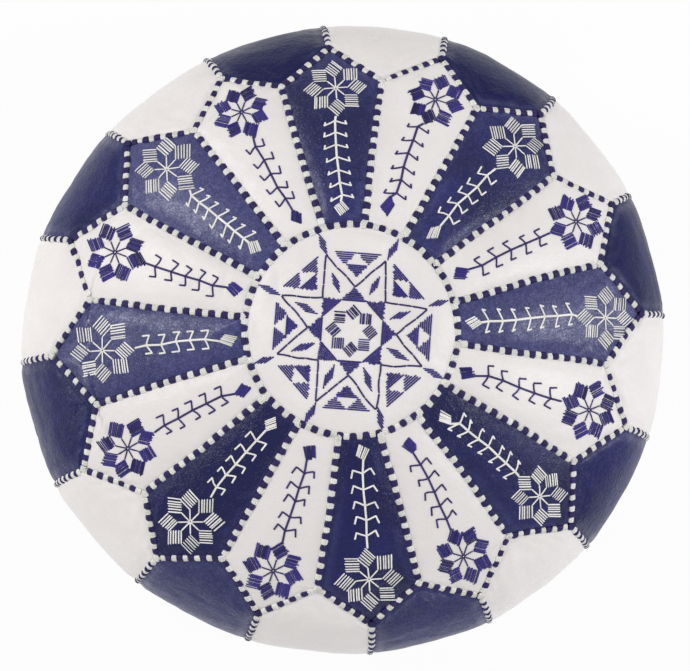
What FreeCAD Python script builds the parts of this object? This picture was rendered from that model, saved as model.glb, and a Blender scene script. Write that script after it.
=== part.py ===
"""Stuffed Moroccan leather pouf: a round footstool of stitched goatskin panels with a zip in its base.

The frame has +Z up and its origin on the floor under the middle of the base.  petal_01 points along +Y,
and petals and side panels are numbered clockwise seen from above.  All sizes are in millimetres and degrees.
"""

import FreeCAD, Part
import math
import os

from FreeCAD import Vector

# Outline of the stuffed cover
OUTER_RADIUS = 265.0  # widest radius
HEIGHT = 320.0  # floor to crown
CROWN_RADIUS = 449.0  # radius of the shallow dome of the top
SHOULDER_RADIUS = 106.0  # radius of the rounded shoulder
FLANK_TURN = 30.0  # angle that the long lower arc of the side turns through
FOOT_INSET = 89.0  # from the widest radius in to where the side reaches the floor
FOOT_WIDTH = 11.0  # flat ring that stands on the floor
GROOVE_SLOPE = 17.0  # width of each slope of the groove that holds the base seam
GROOVE_HEIGHT = 7.0  # height of the base seam over the floor

# Panels
PETALS = 16
MEDALLION_RADIUS = 85.5
VALLEY_INSET = 58.0  # from the widest radius in to the corner between two petals
TIP_INSET = 29.0  # from the widest radius in to the point of a petal
LEATHER = 1.4
SEAM_GAP = 0.5  # between the edges of two sewn panels

# Inner bag and filling
LAYER_GAP = 0.3
BAG_FABRIC = 0.8

# Whip-stitched seams
SEAM_WIDTH = 5.0
SEAM_HEIGHT = 1.7
SEAM_LIFT = 0.2  # clearance over the leather
FLOOR_CLEARANCE = 2.5  # the side seams stop this far above the floor
JUNCTION_SPACE = 0.4  # between the ends of seams that meet

# Embroidery
THREAD_HEIGHT = 0.6
THREAD_LIFT = 0.15
THREAD_WIDTH = 1.3
FLOWER_POINTS = 8
FLOWER_FROM_VALLEY = 9.0  # from the valley radius in to the flower's centre
FLOWER_OUTER = 24.0
FLOWER_SIDE = 18.0
FLOWER_INNER = 9.5
PATCH_GAP = 0.5  # between neighbouring stitched patches
BRANCHES = 5  # pairs of hooked branches on a stem
BRANCH_REACH = 8.0
BRANCH_DROP = 2.5
BRANCH_HOOK = 5.0
BUD_LENGTH = 15.0
BUD_WIDTH = 10.0
BUD_FROM_SEAM = 12.0  # from the medallion seam to the bud's inner end
STAR_POINTS = 8
STAR_TURN = 13.9  # angle of the first star point from the middle of a petal
STAR_FROM_SEAM = 21.5  # from the medallion seam in to the star's points
STAR_INNER = 36.7
STAR_OCTAGON = 27.1
ROSETTE_RADIUS = 15.5
ROSETTE_HALF = 4.6
WEDGE_APEX = 46.7
WEDGE_HALF = 17.5
DASH_WIDTH = 4.6
DASH_FROM_STAR = 2.0  # from the star's points out to the dashes
DASH_FROM_SEAM = 5.5  # from the medallion seam in to the dashes
ARM_PATCH_INNER = 38.0
ARM_PATCH_OUTER = 54.0
ARM_PATCH_WIDTH = 4.6

# Zip in the base, along X
ZIP_END_MARGIN = 20.0  # from the base seam to the end of the zip's slot
SLOT_CLEARANCE = 0.8  # each side of the slider
LAND_HALF_WIDTH = 22.0  # half width of the raised strip that the zip lies in
LAND_SLOPE = 23.0
TAPE_THICKNESS = 0.6
TAPE_INNER = 1.8  # from the zip's centre line to the tape's edge
TAPE_OUTER = 16.0
TAPE_TAIL = 8.0  # tape past each end of the slot
TOOTH_PITCH = 3.2
TOOTH_THICKNESS = 1.3
TOOTH_HALF_HEIGHT = 1.3
TOOTH_REACH = 0.9  # past the centre line
TOOTH_ROOT = 3.2
TOOTH_CLEARANCE = 0.05  # round the tape in the tooth's slot
STOP_LENGTH = 2.4
STOP_CLEARANCE = 0.4
STOP_FROM_SLOT_END = 3.0
END_SEAM_HEIGHT = 1.2  # closed seams past the zip, low enough to clear the pull tab
SLIDER_LENGTH = 16.0
SLIDER_HALF_WIDTH = 5.2
FLANGE_CLEARANCE = 0.3  # between the teeth and the slider's flanges at its tail
SLIDER_PLATE = 1.0
SLIDER_FLANGE = 0.8
CHANNEL_CLEARANCE = 0.2
POST_HALF_WIDTH = 1.2
POST_START = 4.0  # from the slider's middle
POST_END = 7.0
CROWN_HALF_LENGTH = 3.2
CROWN_HALF_WIDTH = 1.0
CROWN_WALL = 1.0
CROWN_OPENING = 2.4
TAB_LENGTH = 27.0
TAB_HALF_WIDTH = 4.0
TAB_THICKNESS = 1.4
TAB_WINDOW_CLEARANCE = 0.3  # between the tab's window and the sides of the slider's crown
TAB_WINDOW_LENGTH = 7.0
TAB_HOLE_RADIUS = 1.6
BAR_CLEARANCE = 0.1  # between the tab's bar and the slider's crown
STITCH_FROM_SLOT = 3.0
STITCH_PITCH = 4.0
STITCH_LENGTH = 3.0
STITCH_WIDTH = 0.7
STITCH_HEIGHT = 0.4
BAG_LAND_HALF_WIDTH = 20.0
BAG_LAND_SLOPE = 30.0

# Sizes that follow
PITCH = 360.0 / PETALS
HALF_PITCH = PITCH / 2
FIRST_PETAL = 90.0  # direction of petal_01
FIRST_SIDE = FIRST_PETAL - HALF_PITCH
FOOT_RADIUS = OUTER_RADIUS - FOOT_INSET
FOOT_INNER_RADIUS = FOOT_RADIUS - FOOT_WIDTH
BASE_SEAM_RADIUS = FOOT_INNER_RADIUS - GROOVE_SLOPE
BASE_FLAT_RADIUS = BASE_SEAM_RADIUS - GROOVE_SLOPE
VALLEY_RADIUS = OUTER_RADIUS - VALLEY_INSET
TIP_RADIUS = OUTER_RADIUS - TIP_INSET
SHOULDER_CENTRE = OUTER_RADIUS - SHOULDER_RADIUS
CENTRE_DISTANCE = CROWN_RADIUS - SHOULDER_RADIUS
DOME_CENTRE_HEIGHT = HEIGHT - CROWN_RADIUS
EQUATOR = DOME_CENTRE_HEIGHT + math.sqrt(CENTRE_DISTANCE**2 - SHOULDER_CENTRE**2)
DOME_TURN = math.degrees(math.asin(SHOULDER_CENTRE / CENTRE_DISTANCE))
TOP_CLEAR = HEIGHT + 20.0  # above everything
REACH = OUTER_RADIUS * 1.3  # beyond everything
BAG_OFFSET = -(LEATHER + LAYER_GAP)
STUFFING_OFFSET = BAG_OFFSET - BAG_FABRIC - LAYER_GAP

# The side below the widest line is two tangent arcs: flank, then heel
_turn = math.radians(FLANK_TURN)
_cos, _sin = math.cos(_turn), math.sin(_turn)
HEEL_RADIUS = (FOOT_INSET - EQUATOR * (1 - _cos) / _sin) / (_cos - (1 - _sin) * (1 - _cos) / _sin)
FLANK_RADIUS = (EQUATOR - HEEL_RADIUS * (1 - _sin)) / _sin

# Embroidery on the medallion ends inside its seam
STAR_OUTER = MEDALLION_RADIUS - STAR_FROM_SEAM
DASH_INNER = STAR_OUTER + DASH_FROM_STAR
DASH_OUTER = MEDALLION_RADIUS - DASH_FROM_SEAM

# Heights and places in the zip
LAND = GROOVE_HEIGHT
SLOT_HALF_WIDTH = SLIDER_HALF_WIDTH + SLOT_CLEARANCE
SLIDER_TAIL_HALF_WIDTH = TOOTH_ROOT + FLANGE_CLEARANCE + SLIDER_FLANGE
TAB_WINDOW_HALF_WIDTH = CROWN_HALF_WIDTH + TAB_WINDOW_CLEARANCE
STITCH_FROM_CENTRE = SLOT_HALF_WIDTH + STITCH_FROM_SLOT
TAPE_BOTTOM = LAND + LEATHER
TAPE_TOP = TAPE_BOTTOM + TAPE_THICKNESS
TOOTH_CENTRE = (TAPE_BOTTOM + TAPE_TOP) / 2
CHANNEL_BOTTOM = TOOTH_CENTRE - TOOTH_HALF_HEIGHT - CHANNEL_CLEARANCE
CHANNEL_TOP = TOOTH_CENTRE + TOOTH_HALF_HEIGHT + CHANNEL_CLEARANCE
SLIDER_BOTTOM = CHANNEL_BOTTOM - SLIDER_PLATE
SLIDER_TOP = CHANNEL_TOP + SLIDER_PLATE
SLOT_HALF_LENGTH = BASE_SEAM_RADIUS - ZIP_END_MARGIN
TOP_STOP_END = SLOT_HALF_LENGTH - STOP_FROM_SLOT_END
SLIDER_FRONT = TOP_STOP_END - STOP_LENGTH - STOP_CLEARANCE
SLIDER_MIDDLE = SLIDER_FRONT - SLIDER_LENGTH / 2
BOTTOM_STOP_START = -SLOT_HALF_LENGTH + STOP_FROM_SLOT_END
FIRST_TOOTH = BOTTOM_STOP_START + STOP_LENGTH + STOP_CLEARANCE + TOOTH_THICKNESS / 2
TEETH_END = SLIDER_MIDDLE + POST_START - STOP_CLEARANCE
TEETH = int((TEETH_END - FIRST_TOOTH - TOOTH_PITCH / 2 - TOOTH_THICKNESS / 2) / TOOTH_PITCH) + 1
BAR_RADIUS = TAB_THICKNESS / 2
BAR_AXIS = SLIDER_BOTTOM - CROWN_OPENING + BAR_CLEARANCE + BAR_RADIUS


def polar(radius, degrees):
    """Point in plan at a radius and a direction."""
    angle = math.radians(degrees)
    return Vector(radius * math.cos(angle), radius * math.sin(angle), 0)


def offset_path(points, distance):
    """Open path of (u, z) points moved to its left by distance, with mitred corners."""
    normals = []
    for (u0, z0), (u1, z1) in zip(points, points[1:]):
        length = math.hypot(u1 - u0, z1 - z0)
        normals.append(((z0 - z1) / length, (u1 - u0) / length))
    moved = []
    for index, (u, z) in enumerate(points):
        before = normals[max(index - 1, 0)]
        after = normals[min(index, len(normals) - 1)]
        scale = distance / (1 + before[0] * after[0] + before[1] * after[1])
        moved.append((u + scale * (before[0] + after[0]), z + scale * (before[1] + after[1])))
    return moved


def meridian_arc(centre_radius, centre_height, radius, start, end):
    """Arc in the XZ plane from a start to an end direction."""
    middle = (start + end) / 2
    ends = []
    for degrees in (start, middle, end):
        turn = polar(radius, degrees)
        ends.append(Vector(centre_radius + turn.x, 0, centre_height + turn.y))
    return Part.Arc(*ends).toShape()


def body(offset):
    """Solid inside the cover's outer surface, moved out by offset (in, when it is negative)."""
    flank_centre = OUTER_RADIUS - FLANK_RADIUS
    heel_turn = polar(FLANK_RADIUS - HEEL_RADIUS, -FLANK_TURN)
    heel_centre = (flank_centre + heel_turn.x, EQUATOR + heel_turn.y)
    arcs = [
        meridian_arc(0, DOME_CENTRE_HEIGHT, CROWN_RADIUS + offset, 90, 90 - DOME_TURN),
        meridian_arc(SHOULDER_CENTRE, EQUATOR, SHOULDER_RADIUS + offset, 90 - DOME_TURN, 0),
        meridian_arc(flank_centre, EQUATOR, FLANK_RADIUS + offset, 0, -FLANK_TURN),
        meridian_arc(*heel_centre, HEEL_RADIUS + offset, -FLANK_TURN, -90),
    ]
    underside = [
        (FOOT_RADIUS, 0),
        (FOOT_INNER_RADIUS, 0),
        (BASE_SEAM_RADIUS, GROOVE_HEIGHT),
        (BASE_FLAT_RADIUS, 0),
        (0, 0),
    ]
    corners = [Vector(u, 0, z) for u, z in offset_path(underside, offset)]
    corners.append(Vector(0, 0, HEIGHT + offset))
    lines = [Part.makeLine(a, b) for a, b in zip(corners, corners[1:])]
    face = Part.Face(Part.Wire(arcs + lines))
    return face.revolve(Vector(0, 0, 0), Vector(0, 0, 1), 360)


def layer(low, high):
    """Closed shell between two offsets of the cover's outer surface."""
    return body(high).cut(body(low))


def prism(points, low, high):
    """Upright prism on a closed outline of plan points."""
    outline = [Vector(p.x, p.y, low) for p in points]
    outline.append(outline[0])
    return Part.Face(Part.makePolygon(outline)).extrude(Vector(0, 0, high - low))


def disc(radius, low, high):
    """Upright cylinder on the pouf's axis."""
    return Part.makeCylinder(radius, high - low, Vector(0, 0, low))


def ring(inner, outer, low, high):
    """Upright tube on the pouf's axis."""
    return disc(outer, low, high).cut(disc(inner, low, high))


def box(x_range, y_range, z_range):
    """Box from its ranges along X, Y and Z."""
    low = Vector(x_range[0], y_range[0], z_range[0])
    size = Vector(x_range[1], y_range[1], z_range[1]) - low
    return Part.makeBox(size.x, size.y, size.z, low)


def inset_outline(points, distance):
    """Convex outline, counterclockwise, with each side moved in by distance."""
    count = len(points)
    moved = []
    for index in range(count):
        before = points[index] - points[index - 1]
        after = points[(index + 1) % count] - points[index]
        before.normalize()
        after.normalize()
        inward = Vector(-before.y - after.y, before.x + after.x, 0)
        moved.append(points[index] + inward * (distance / (1 + before.dot(after))))
    return moved


def bar(start, end, width, low, high):
    """Upright slab of a given width along the line between two plan points."""
    along = end - start
    along.normalize()
    side = Vector(-along.y, along.x, 0) * (width / 2)
    return prism([start - side, end - side, end + side, start + side], low, high)


def turned(shape, degrees):
    """Copy of a shape turned about the pouf's axis."""
    copy = shape.copy()
    copy.rotate(Vector(0, 0, 0), Vector(0, 0, 1), degrees)
    return copy


def round_copies(shape, count=PETALS, step=PITCH):
    """Copies of a shape set out clockwise round the pouf's axis."""
    return [turned(shape, -step * index) for index in range(count)]


def shifted(shape, x, y, z):
    """Copy of a shape moved by x, y and z."""
    copy = shape.copy()
    copy.translate(Vector(x, y, z))
    return copy


def write(node, *shapes):
    """Write one node's solids to its STEP file."""
    solids = [solid for shape in shapes for solid in shape.Solids]
    Part.makeCompound(solids).exportStep(os.path.join("parts", node + ".step"))


def petal_outline(direction):
    """Seam lines round one petal as plan points, from the pouf's axis to the petal's point and back."""
    return [
        Vector(0, 0, 0),
        polar(VALLEY_RADIUS, direction - HALF_PITCH),
        polar(TIP_RADIUS, direction),
        polar(VALLEY_RADIUS, direction + HALF_PITCH),
    ]


def zigzag_cutter(direction):
    """Prism over everything inside the petals' pointed ends, for the side panel in one direction."""
    valley = polar(VALLEY_RADIUS, direction)
    tips = [polar(TIP_RADIUS, direction - HALF_PITCH), polar(TIP_RADIUS, direction + HALF_PITCH)]
    edge = tips[1] - valley
    slant = edge.getAngle(valley)
    corner = polar(VALLEY_RADIUS + SEAM_GAP / 2 / math.sin(slant), direction)
    ends = [corner + (tip - valley) * 1.5 for tip in tips]
    return prism([Vector(0, 0, 0), ends[0], corner, ends[1]], EQUATOR, TOP_CLEAR)


def leather_panels(wall):
    """Medallion, petals and side panels."""
    half_gap = SEAM_GAP / 2
    medallion = wall.common(disc(MEDALLION_RADIUS - half_gap, EQUATOR, TOP_CLEAR))
    write("medallion", medallion)

    outline = inset_outline(petal_outline(FIRST_PETAL), half_gap)
    petal = wall.common(prism(outline, EQUATOR, TOP_CLEAR))
    petal = petal.cut(disc(MEDALLION_RADIUS + half_gap, EQUATOR, TOP_CLEAR))
    for number, copy in enumerate(round_copies(petal), 1):
        write(f"petal_{number:02d}", copy)

    wedge = [
        Vector(0, 0, 0),
        polar(REACH, FIRST_SIDE - HALF_PITCH),
        polar(REACH, FIRST_SIDE + HALF_PITCH),
    ]
    side = wall.common(prism(inset_outline(wedge, half_gap), -TOP_CLEAR, TOP_CLEAR))
    side = side.cut(zigzag_cutter(FIRST_SIDE))
    side = side.cut(disc(BASE_SEAM_RADIUS + half_gap, -TOP_CLEAR, EQUATOR))
    for number, copy in enumerate(round_copies(side), 1):
        write(f"side_panel_{number:02d}", copy)


def valley_tool(offset, land, half_width, slope):
    """Prism along X under a raised strip of the base, to cut it from a body with the same offset."""
    run_out = 2.0  # the slopes run on below the floor by this many times their height
    path = [
        (half_width + slope * run_out, land * (1 - run_out)),
        (half_width, land),
        (-half_width, land),
        (-half_width - slope * run_out, land * (1 - run_out)),
    ]
    moved = offset_path(path, offset)
    floor = min(z for _, z in moved)
    corners = [Vector(-REACH, y, z) for y, z in moved]
    corners += [Vector(-REACH, moved[-1][0], floor - 1), Vector(-REACH, moved[0][0], floor - 1)]
    corners.append(corners[0])
    tool = Part.Face(Part.makePolygon(corners)).extrude(Vector(2 * REACH, 0, 0))
    return tool.common(disc(BASE_SEAM_RADIUS, -TOP_CLEAR, EQUATOR))


def base_halves():
    """Two leather half discs with a raised strip and a slot for the zip between them."""
    outside = body(0).cut(valley_tool(0, LAND, LAND_HALF_WIDTH, LAND_SLOPE))
    inside = body(-LEATHER).cut(valley_tool(-LEATHER, LAND, LAND_HALF_WIDTH, LAND_SLOPE))
    sheet = outside.common(disc(BASE_SEAM_RADIUS - SEAM_GAP / 2, -1, EQUATOR / 2)).cut(inside)
    slot = box(
        (-SLOT_HALF_LENGTH, SLOT_HALF_LENGTH), (-SLOT_HALF_WIDTH, SLOT_HALF_WIDTH), (-1, TAPE_TOP)
    )
    butt = box((-REACH, REACH), (-SEAM_GAP / 2, SEAM_GAP / 2), (-1, EQUATOR))
    sheet = sheet.cut(slot).cut(butt)
    for node, y_range in (("base_half_left", (0, REACH)), ("base_half_right", (-REACH, 0))):
        write(node, sheet.common(box((-REACH, REACH), y_range, (-1, EQUATOR))))


def bag_and_stuffing():
    """Inner bag in two halves, and the filling inside it."""
    land = SLIDER_TOP + LAYER_GAP

    def filled(offset, valley_offset):
        tool = valley_tool(valley_offset, land, BAG_LAND_HALF_WIDTH, BAG_LAND_SLOPE)
        return body(offset).cut(tool)

    bag = filled(BAG_OFFSET, 0).cut(filled(BAG_OFFSET - BAG_FABRIC, -BAG_FABRIC))
    half_gap = LAYER_GAP / 2
    everywhere = (-REACH, REACH)
    write("inner_bag_top", bag.common(box(everywhere, everywhere, (EQUATOR + half_gap, TOP_CLEAR))))
    write("inner_bag_bottom", bag.common(box(everywhere, everywhere, (-1, EQUATOR - half_gap))))
    write("stuffing", filled(STUFFING_OFFSET, -BAG_FABRIC - LAYER_GAP))


def seam_line(cords, start, end, start_gap, end_gap):
    """Whip-stitched seam over the top between two plan points, short of each by a gap."""
    along = end - start
    along.normalize()
    slab = bar(start + along * start_gap, end - along * end_gap, SEAM_WIDTH, EQUATOR, TOP_CLEAR)
    return cords.common(slab)


def seams():
    """Every whip-stitched seam, lying on the leather over the line where two panels meet."""
    half = SEAM_WIDTH / 2
    cords = layer(SEAM_LIFT, SEAM_LIFT + SEAM_HEIGHT)
    around = ring(MEDALLION_RADIUS - half, MEDALLION_RADIUS + half, EQUATOR, TOP_CLEAR)
    write("medallion_seam", cords.common(around))

    edge = polar(TIP_RADIUS, HALF_PITCH) - polar(VALLEY_RADIUS, 0)
    at_valley = edge.getAngle(polar(1, 0))
    at_tip = math.pi / 2 - at_valley + math.radians(HALF_PITCH)
    valley_gap = half / math.tan((math.pi - at_valley) / 2) + JUNCTION_SPACE
    tip_gap = half / math.tan(math.pi / 2 - at_tip) + JUNCTION_SPACE

    valley = polar(VALLEY_RADIUS, FIRST_SIDE)
    start = polar(MEDALLION_RADIUS, FIRST_SIDE)
    radial = seam_line(cords, start, valley, half + JUNCTION_SPACE, valley_gap)
    write("petal_seams", *round_copies(radial))

    zigzag = [
        seam_line(cords, valley, polar(TIP_RADIUS, FIRST_SIDE + side * HALF_PITCH), valley_gap, tip_gap)
        for side in (-1, 1)
    ]
    write("tip_seams", *round_copies(zigzag[0]), *round_copies(zigzag[1]))

    slab = bar(Vector(0, 0, 0), polar(REACH, FIRST_PETAL), SEAM_WIDTH, FLOOR_CLEARANCE, TOP_CLEAR)
    down = cords.common(slab).cut(disc(TIP_RADIUS + tip_gap, EQUATOR, TOP_CLEAR))
    down = down.cut(disc(FOOT_RADIUS, -1, EQUATOR))
    write("side_seams", *round_copies(down))

    base_ring = ring(BASE_SEAM_RADIUS - half, BASE_SEAM_RADIUS + half, -1, EQUATOR / 2)
    write("base_seam", cords.common(base_ring))

    ends = []
    for side in (-1, 1):
        span = sorted((side * (SLOT_HALF_LENGTH + STOP_LENGTH), side * (BASE_SEAM_RADIUS - half - JUNCTION_SPACE)))
        ends.append(box(span, (-half, half), (LAND - SEAM_LIFT - END_SEAM_HEIGHT, LAND - SEAM_LIFT)))
    write("zip_end_seams", *ends)


def patch(threads, points):
    """Stitched patch on an outline, lying on the leather."""
    return threads.common(prism(points, EQUATOR, TOP_CLEAR))


def kite(inner, side, outer, centre, direction, half_angle):
    """Four corners of a patch round a centre: inner, two at the sides, outer."""
    return [
        centre + polar(inner, direction),
        centre + polar(side, direction - half_angle),
        centre + polar(outer, direction),
        centre + polar(side, direction + half_angle),
    ]


def petal_embroidery(threads):
    """Flower, stem with hooked branches, and bud on one petal."""
    direction = FIRST_PETAL
    centre_radius = VALLEY_RADIUS - FLOWER_FROM_VALLEY
    centre = polar(centre_radius, direction)
    step = 360.0 / FLOWER_POINTS
    pieces = []
    for index in range(FLOWER_POINTS):
        corners = kite(
            FLOWER_INNER, FLOWER_SIDE, FLOWER_OUTER, centre, direction + step * index, step / 2
        )
        pieces.append(patch(threads, inset_outline(corners, PATCH_GAP / 2)))

    bud_inner = MEDALLION_RADIUS + BUD_FROM_SEAM
    bud_outer = bud_inner + BUD_LENGTH
    stem_end = centre_radius - FLOWER_OUTER - PATCH_GAP
    stem_start = bud_outer + PATCH_GAP
    lines = []
    space = (stem_end - stem_start) / BRANCHES
    for index in range(BRANCHES):
        foot = stem_start + BRANCH_DROP + space * (index + 0.5)
        for side in (-1, 1):
            knee = polar(foot - BRANCH_DROP, direction) + polar(BRANCH_REACH, direction + 90 * side)
            hook = knee + polar(BRANCH_HOOK, direction)
            lines.append(bar(polar(foot, direction), knee, THREAD_WIDTH, EQUATOR, TOP_CLEAR))
            lines.append(bar(knee, hook, THREAD_WIDTH, EQUATOR, TOP_CLEAR))
    stem = bar(
        polar(stem_start, direction), polar(stem_end, direction), THREAD_WIDTH, EQUATOR, TOP_CLEAR
    )
    pieces.append(threads.common(stem.multiFuse(lines)))

    spokes = []
    for index in range(FLOWER_POINTS):
        reach = FLOWER_INNER - PATCH_GAP
        end = centre + polar(reach, direction + step * index)
        spokes.append(bar(centre, end, THREAD_WIDTH, EQUATOR, TOP_CLEAR))
    pieces.append(threads.common(spokes[0].multiFuse(spokes[1:])))

    middle = (bud_inner + bud_outer) / 2
    side = polar(BUD_WIDTH / 2, direction + 90)
    bud = [
        polar(bud_inner, direction),
        polar(middle, direction) - side,
        polar(bud_outer, direction),
        polar(middle, direction) + side,
    ]
    pieces.append(patch(threads, bud))
    return pieces


def medallion_embroidery(threads):
    """Eight-pointed star with a rosette, triangles between its points and dashes beyond them."""
    step = 360.0 / STAR_POINTS
    lines = []
    pieces = []
    for index in range(STAR_POINTS):
        direction = FIRST_PETAL + STAR_TURN + step * index
        point = polar(STAR_OUTER, direction)
        corner = polar(STAR_OCTAGON, direction)
        for side in (-1, 1):
            inner = polar(STAR_INNER, direction + side * step / 2)
            lines.append(bar(point, inner, THREAD_WIDTH, EQUATOR, TOP_CLEAR))
            lines.append(bar(inner, corner, THREAD_WIDTH, EQUATOR, TOP_CLEAR))
        rosette = polar(ROSETTE_RADIUS, direction)
        square = [rosette + polar(ROSETTE_HALF * math.sqrt(2), direction + turn) for turn in (180, -90, 0, 90)]
        pieces.append(patch(threads, square))
        pieces.append(
            threads.common(
                bar(
                    polar(ARM_PATCH_INNER, direction),
                    polar(ARM_PATCH_OUTER, direction),
                    ARM_PATCH_WIDTH,
                    EQUATOR,
                    TOP_CLEAR,
                )
            )
        )
        dash = bar(
            polar(DASH_INNER, direction), polar(DASH_OUTER, direction), DASH_WIDTH, EQUATOR, TOP_CLEAR
        )
        pieces.append(threads.common(dash))
        pieces += wedge_patches(threads, direction + step / 2)
    star = lines[0].multiFuse(lines[1:])
    pieces.append(threads.common(star))
    return pieces


def wedge_patches(threads, direction):
    """Three small triangles that fill the space between two star points."""
    apex = polar(WEDGE_APEX, direction)
    middle = polar(STAR_OUTER, direction)
    side = polar(WEDGE_HALF, direction + 90)
    left, right = middle + side, middle - side
    halfway_left, halfway_right = (apex + left) * 0.5, (apex + right) * 0.5
    triangles = [
        [apex, halfway_right, halfway_left],
        [halfway_right, right, middle],
        [halfway_left, middle, left],
    ]
    return [patch(threads, inset_outline(triangle, PATCH_GAP / 2)) for triangle in triangles]


def embroidery():
    """Blue thread on the medallion and the white petals, white thread on the navy petals."""
    threads = layer(THREAD_LIFT, THREAD_LIFT + THREAD_HEIGHT)
    write("medallion_embroidery", *medallion_embroidery(threads))
    motif = Part.makeCompound([s for piece in petal_embroidery(threads) for s in piece.Solids])
    copies = round_copies(motif)
    write("white_embroidery", *copies[0::2])
    write("blue_embroidery", *copies[1::2])


def tooth_profile(side):
    """Outline of one tooth across the zip: a head past the centre line and a root clamped on the tape."""
    slot = TAPE_THICKNESS / 2 + TOOTH_CLEARANCE
    slot_end = TAPE_INNER - TOOTH_CLEARANCE
    shoulder = TOOTH_HALF_HEIGHT * 0.6
    outline = [
        (-TOOTH_REACH, -shoulder),
        (TOOTH_REACH / 2, -TOOTH_HALF_HEIGHT),
        (TOOTH_ROOT, -TOOTH_HALF_HEIGHT),
        (TOOTH_ROOT, -slot),
        (slot_end, -slot),
        (slot_end, slot),
        (TOOTH_ROOT, slot),
        (TOOTH_ROOT, TOOTH_HALF_HEIGHT),
        (TOOTH_REACH / 2, TOOTH_HALF_HEIGHT),
        (-TOOTH_REACH, shoulder),
    ]
    points = [Vector(0, side * y, TOOTH_CENTRE + z) for y, z in outline]
    points.append(points[0])
    return Part.Face(Part.makePolygon(points))


def zip_chain():
    """Tapes, teeth and stops."""
    tail = SLOT_HALF_LENGTH + TAPE_TAIL
    for node, side in (("left", 1), ("right", -1)):
        edges = sorted((side * TAPE_INNER, side * TAPE_OUTER))
        write("zip_tape_" + node, box((-tail, tail), edges, (TAPE_BOTTOM, TAPE_TOP)))
        start = FIRST_TOOTH - TOOTH_THICKNESS / 2 + (TOOTH_PITCH / 2 if side < 0 else 0)
        tooth = tooth_profile(side).extrude(Vector(TOOTH_THICKNESS, 0, 0))
        teeth = [shifted(tooth, start + TOOTH_PITCH * index, 0, 0) for index in range(TEETH)]
        write("zip_teeth_" + node, *teeth)

    heights = (TOOTH_CENTRE - TOOTH_HALF_HEIGHT, TOOTH_CENTRE + TOOTH_HALF_HEIGHT)
    slot = (TAPE_BOTTOM - TOOTH_CLEARANCE, TAPE_TOP + TOOTH_CLEARANCE)
    tape_edge = TAPE_INNER - TOOTH_CLEARANCE
    top_span = (TOP_STOP_END - STOP_LENGTH, TOP_STOP_END)
    stops = []
    for side in (-1, 1):
        clamp = box(top_span, sorted((side * TOOTH_REACH, side * TOOTH_ROOT)), heights)
        stops.append(clamp.cut(box(top_span, sorted((side * tape_edge, side * TAPE_OUTER)), slot)))
    write("zip_top_stops", *stops)

    bottom_span = (BOTTOM_STOP_START, BOTTOM_STOP_START + STOP_LENGTH)
    bottom = box(bottom_span, (-TOOTH_ROOT, TOOTH_ROOT), heights)
    for side in (-1, 1):
        bottom = bottom.cut(box(bottom_span, sorted((side * tape_edge, side * TAPE_OUTER)), slot))
    write("zip_bottom_stop", bottom)


def zip_stitching():
    """Running stitches that hold the tapes to the leather, seen from below."""
    count = int(2 * SLOT_HALF_LENGTH / STITCH_PITCH)
    first = -(count - 1) * STITCH_PITCH / 2
    stitches = []
    for side in (-1, 1):
        centre = side * STITCH_FROM_CENTRE
        for index in range(count):
            x = first + STITCH_PITCH * index
            stitches.append(
                box(
                    (x - STITCH_LENGTH / 2, x + STITCH_LENGTH / 2),
                    (centre - STITCH_WIDTH / 2, centre + STITCH_WIDTH / 2),
                    (LAND - STITCH_HEIGHT, LAND),
                )
            )
    write("zip_stitching", *stitches)


def slider():
    """Zip slider: two plates, a post that parts the teeth, side flanges and a crown for the pull tab."""
    tail = SLIDER_MIDDLE - SLIDER_LENGTH / 2
    front = SLIDER_FRONT

    def plan(inner_front, inner_tail, z_range):
        return [
            prism(
                [
                    Vector(tail, side * inner_tail, 0),
                    Vector(front, side * inner_front, 0),
                    Vector(front, side * SLIDER_HALF_WIDTH, 0),
                    Vector(tail, side * SLIDER_TAIL_HALF_WIDTH, 0),
                ],
                *z_range,
            )
            for side in (-1, 1)
        ]

    flange_front = SLIDER_HALF_WIDTH - SLIDER_FLANGE
    flange_tail = SLIDER_TAIL_HALF_WIDTH - SLIDER_FLANGE
    low_flange = (CHANNEL_BOTTOM, TAPE_BOTTOM - CHANNEL_CLEARANCE)
    high_flange = (TAPE_TOP + CHANNEL_CLEARANCE, CHANNEL_TOP)
    pieces = plan(0, 0, (SLIDER_BOTTOM, CHANNEL_BOTTOM)) + plan(0, 0, (CHANNEL_TOP, SLIDER_TOP))
    pieces += plan(flange_front, flange_tail, low_flange)
    pieces += plan(flange_front, flange_tail, high_flange)
    post = (SLIDER_MIDDLE + POST_START, SLIDER_MIDDLE + POST_END)
    pieces.append(box(post, (-POST_HALF_WIDTH, POST_HALF_WIDTH), (SLIDER_BOTTOM, SLIDER_TOP)))

    across = (-CROWN_HALF_WIDTH, CROWN_HALF_WIDTH)
    crown_bottom = SLIDER_BOTTOM - CROWN_OPENING - CROWN_WALL
    crown = box(
        (SLIDER_MIDDLE - CROWN_HALF_LENGTH, SLIDER_MIDDLE + CROWN_HALF_LENGTH),
        across,
        (crown_bottom, SLIDER_BOTTOM + SLIDER_PLATE / 2),
    )
    inner_half = CROWN_HALF_LENGTH - CROWN_WALL
    opening = box(
        (SLIDER_MIDDLE - inner_half, SLIDER_MIDDLE + inner_half),
        across,
        (SLIDER_BOTTOM - CROWN_OPENING, SLIDER_BOTTOM),
    )
    crown = crown.makeFillet(CROWN_WALL * 0.9, [e for e in crown.Edges if lies_along_y(e, crown_bottom)])
    pieces.append(crown.cut(opening))
    write("zip_slider", pieces[0].multiFuse(pieces[1:]).removeSplitter())


def lies_along_y(edge, height):
    """Whether an edge runs along Y at a height."""
    ends = [vertex.Point for vertex in edge.Vertexes]
    if len(ends) != 2 or abs(ends[0].y - ends[1].y) < CROWN_HALF_WIDTH:
        return False
    return all(abs(end.z - height) < CROWN_WALL / 10 for end in ends)


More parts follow.
